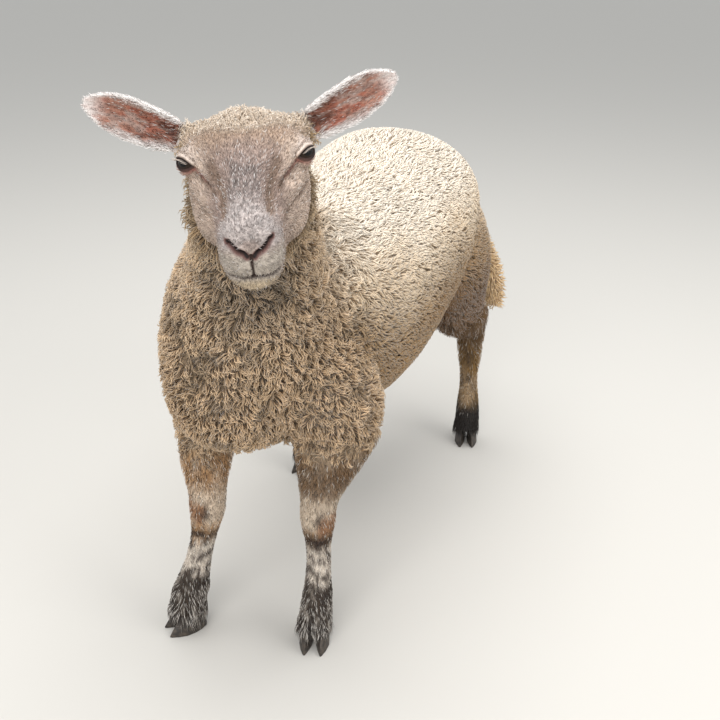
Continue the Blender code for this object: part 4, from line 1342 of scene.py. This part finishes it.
def eyeball(side):
    """A whole eyeball with a bulging cornea, its gaze stored so that the iris can be drawn on it."""
    lids = LIDS[side]
    shape = bmesh.new()
    bmesh.ops.create_uvsphere(shape, u_segments=48, v_segments=32, radius=EYE_RADIUS)
    # The sphere's faces come in a new order each time, so they are put in the order of their vertices.
    shape.faces.sort(key=lambda face: sum(v.index * 2000**i for i, v in enumerate(face.verts)))
    turn = Matrix([lids.slit, lids.up, lids.look]).transposed()
    for vertex in shape.verts:
        off = vertex.co.xy.length / EYE_RADIUS / CORNEA_SHARE
        if vertex.co.z > 0 and off < 1:
            vertex.co.z += CORNEA_RISE * (1 - off**2)
    gaze = np.array([vertex.co / EYE_RADIUS for vertex in shape.verts])
    local = np.array([turn @ vertex.co for vertex in shape.verts]) + lids.centre
    if np.linalg.det(np.array(turn)) < 0:
        bmesh.ops.reverse_faces(shape, faces=shape.faces)
    for vertex, spot in zip(shape.verts, from_head(local)):
        vertex.co = spot
    mesh = mesh_of(shape, f"eyeball_{SIDES[side]}")
    mesh.shade_smooth()
    attribute = mesh.attributes.new("gaze", "FLOAT_VECTOR", "POINT")
    attribute.data.foreach_set("vector", gaze.astype(np.float32).ravel())
    ball = put(mesh.name, mesh)
    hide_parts(f"eye_{SIDES[side]}")
    return ball


def claw(name):
    """A claw's solid with its edges worn round, reaching up under the hair of the coronet."""
    shape = bmesh.new()
    shape.from_mesh(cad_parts[name].data)
    bmesh.ops.remove_doubles(shape, verts=shape.verts, dist=MERGE)
    bmesh.ops.dissolve_limit(shape, angle_limit=radians(1), verts=shape.verts, edges=shape.edges)
    sharp = [edge for edge in shape.edges if edge.calc_face_angle(0) > radians(28)]
    bmesh.ops.bevel(
        shape,
        geom=sharp,
        offset=CLAW_WEAR,
        segments=3,
        profile=0.5,
        affect="EDGES",
        material=-1,
        clamp_overlap=True,
    )
    mesh = mesh_of(shape, name.replace("hoof", "claw"))
    mesh.shade_smooth()
    piece = put(mesh.name, mesh)
    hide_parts(name)
    return piece


# ---------------------------------------------------------------- scene


def dress(piece, material):
    """Gives a piece its material. The whole sheep is one body."""
    piece.data.materials.clear()
    piece.data.materials.append(material)
    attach(piece, "root")


def skin_piece(form):
    """The skin, painted and with its head worked, and 1 at each of its points that may grow hair."""
    net = refined(thinned(form))
    # Markings are laid on before the head is worked, so that they follow the clay.
    colour = markings(net.points, net.normals())
    clear = 1.0 - bare(net.points)
    under = wool_share(net.points) * (1 - fuzz_share(net.points))
    work_head(net)
    net.normals()
    # Painted light and shade between the locks: the skin under the felt is lit above the wool's colour, the
    # skin under the curls is darkened
    dim = mix(UNDER_FELT, UNDER_CURLS, ramp(-net.points[:, 1], 0.12, 0.22))
    paint(net.mesh, colour * mix(1.0, dim, under)[:, None])
    net.mesh.shade_smooth()
    net.mesh.name = "skin"
    skin = put("skin", net.mesh)
    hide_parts(*(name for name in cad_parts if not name.startswith(("hoof", "eye"))))
    return skin, clear


def build():
    """Every piece of the sheep. The random draws follow this order."""
    rng = np.random.default_rng(SEED)
    form = fused_form()
    draw_in(form)
    lay_lines(form.points)
    fleece = wool_pieces(form, rng)
    skin, clear = skin_piece(form)
    hide, wool, hair = coat_materials()
    dress(skin, hide)
    for piece in (*fleece, fuzz_piece(skin, rng)):
        dress(piece, wool)
    for pieces, slot in (
        (face_pieces(skin, clear, rng), "face_hair"),
        ([lash_piece(side, rng) for side in (1, -1)], "face_hair"),
        (ear_pieces(skin, rng), "ear_hair"),
        (leg_pieces(skin, rng), "leg_hair"),
    ):
        for piece in pieces:
            dress(piece, hair)
    eye = eye_material()
    for side in SIDES:
        dress(eyeball(side), eye)
    horn = horn_material()
    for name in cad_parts:
        if name.startswith("hoof"):
            dress(claw(name), horn)


def light(name, spot, target, size, watts):
    """A square soft box of that size, which faces the target."""
    lamp = bpy.data.lights.new(name, "AREA")
    lamp.size = size
    lamp.energy = watts
    held = put(name, lamp)
    held.location = spot
    held.rotation_euler = (Vector(target) - Vector(spot)).to_track_quat("-Z", "Y").to_euler()


def studio():
    """Floor, daylight, three soft boxes and the camera."""
    shape = bmesh.new()
    bmesh.ops.create_grid(shape, x_segments=1, y_segments=1, size=20)
    mesh = mesh_of(shape, "floor")
    # Matt paint, which gives soft shadows and no gloss
    material, _, _ = new_material("pale matt floor", {"Base Color": rgba("#c6c2bb"), "Roughness": 0.9})
    mesh.materials.append(material)
    put("floor", mesh)

    scene = bpy.context.scene
    world = bpy.data.worlds.new("soft daylight")
    world.use_nodes = True
    sky = world.node_tree
    fill(sky, sky.nodes["Background"], {"Color": rgba("#e6eaee"), "Strength": 0.95})
    scene.world = world
    light("overhead", (0.0, 0.3, 2.6), (0.0, 0.0, 0.4), 2.4, 50)
    light("key", (0.3, -2.8, 1.9), (0.0, -0.2, 0.45), 1.8, 60)
    light("fill", (2.6, -0.3, 1.6), (0.0, 0.0, 0.45), 1.8, 30)
    scene.view_settings.view_transform = "Standard"

    lens = bpy.data.cameras.new("camera")
    lens.lens, lens.sensor_width = LENS, 36
    camera = put("camera", lens)
    camera.location = CAMERA_SPOT
    camera.rotation_euler = (radians(90 - CAMERA_DOWN), 0, radians(CAMERA_HEADING))
    scene.camera = camera


build()
studio()
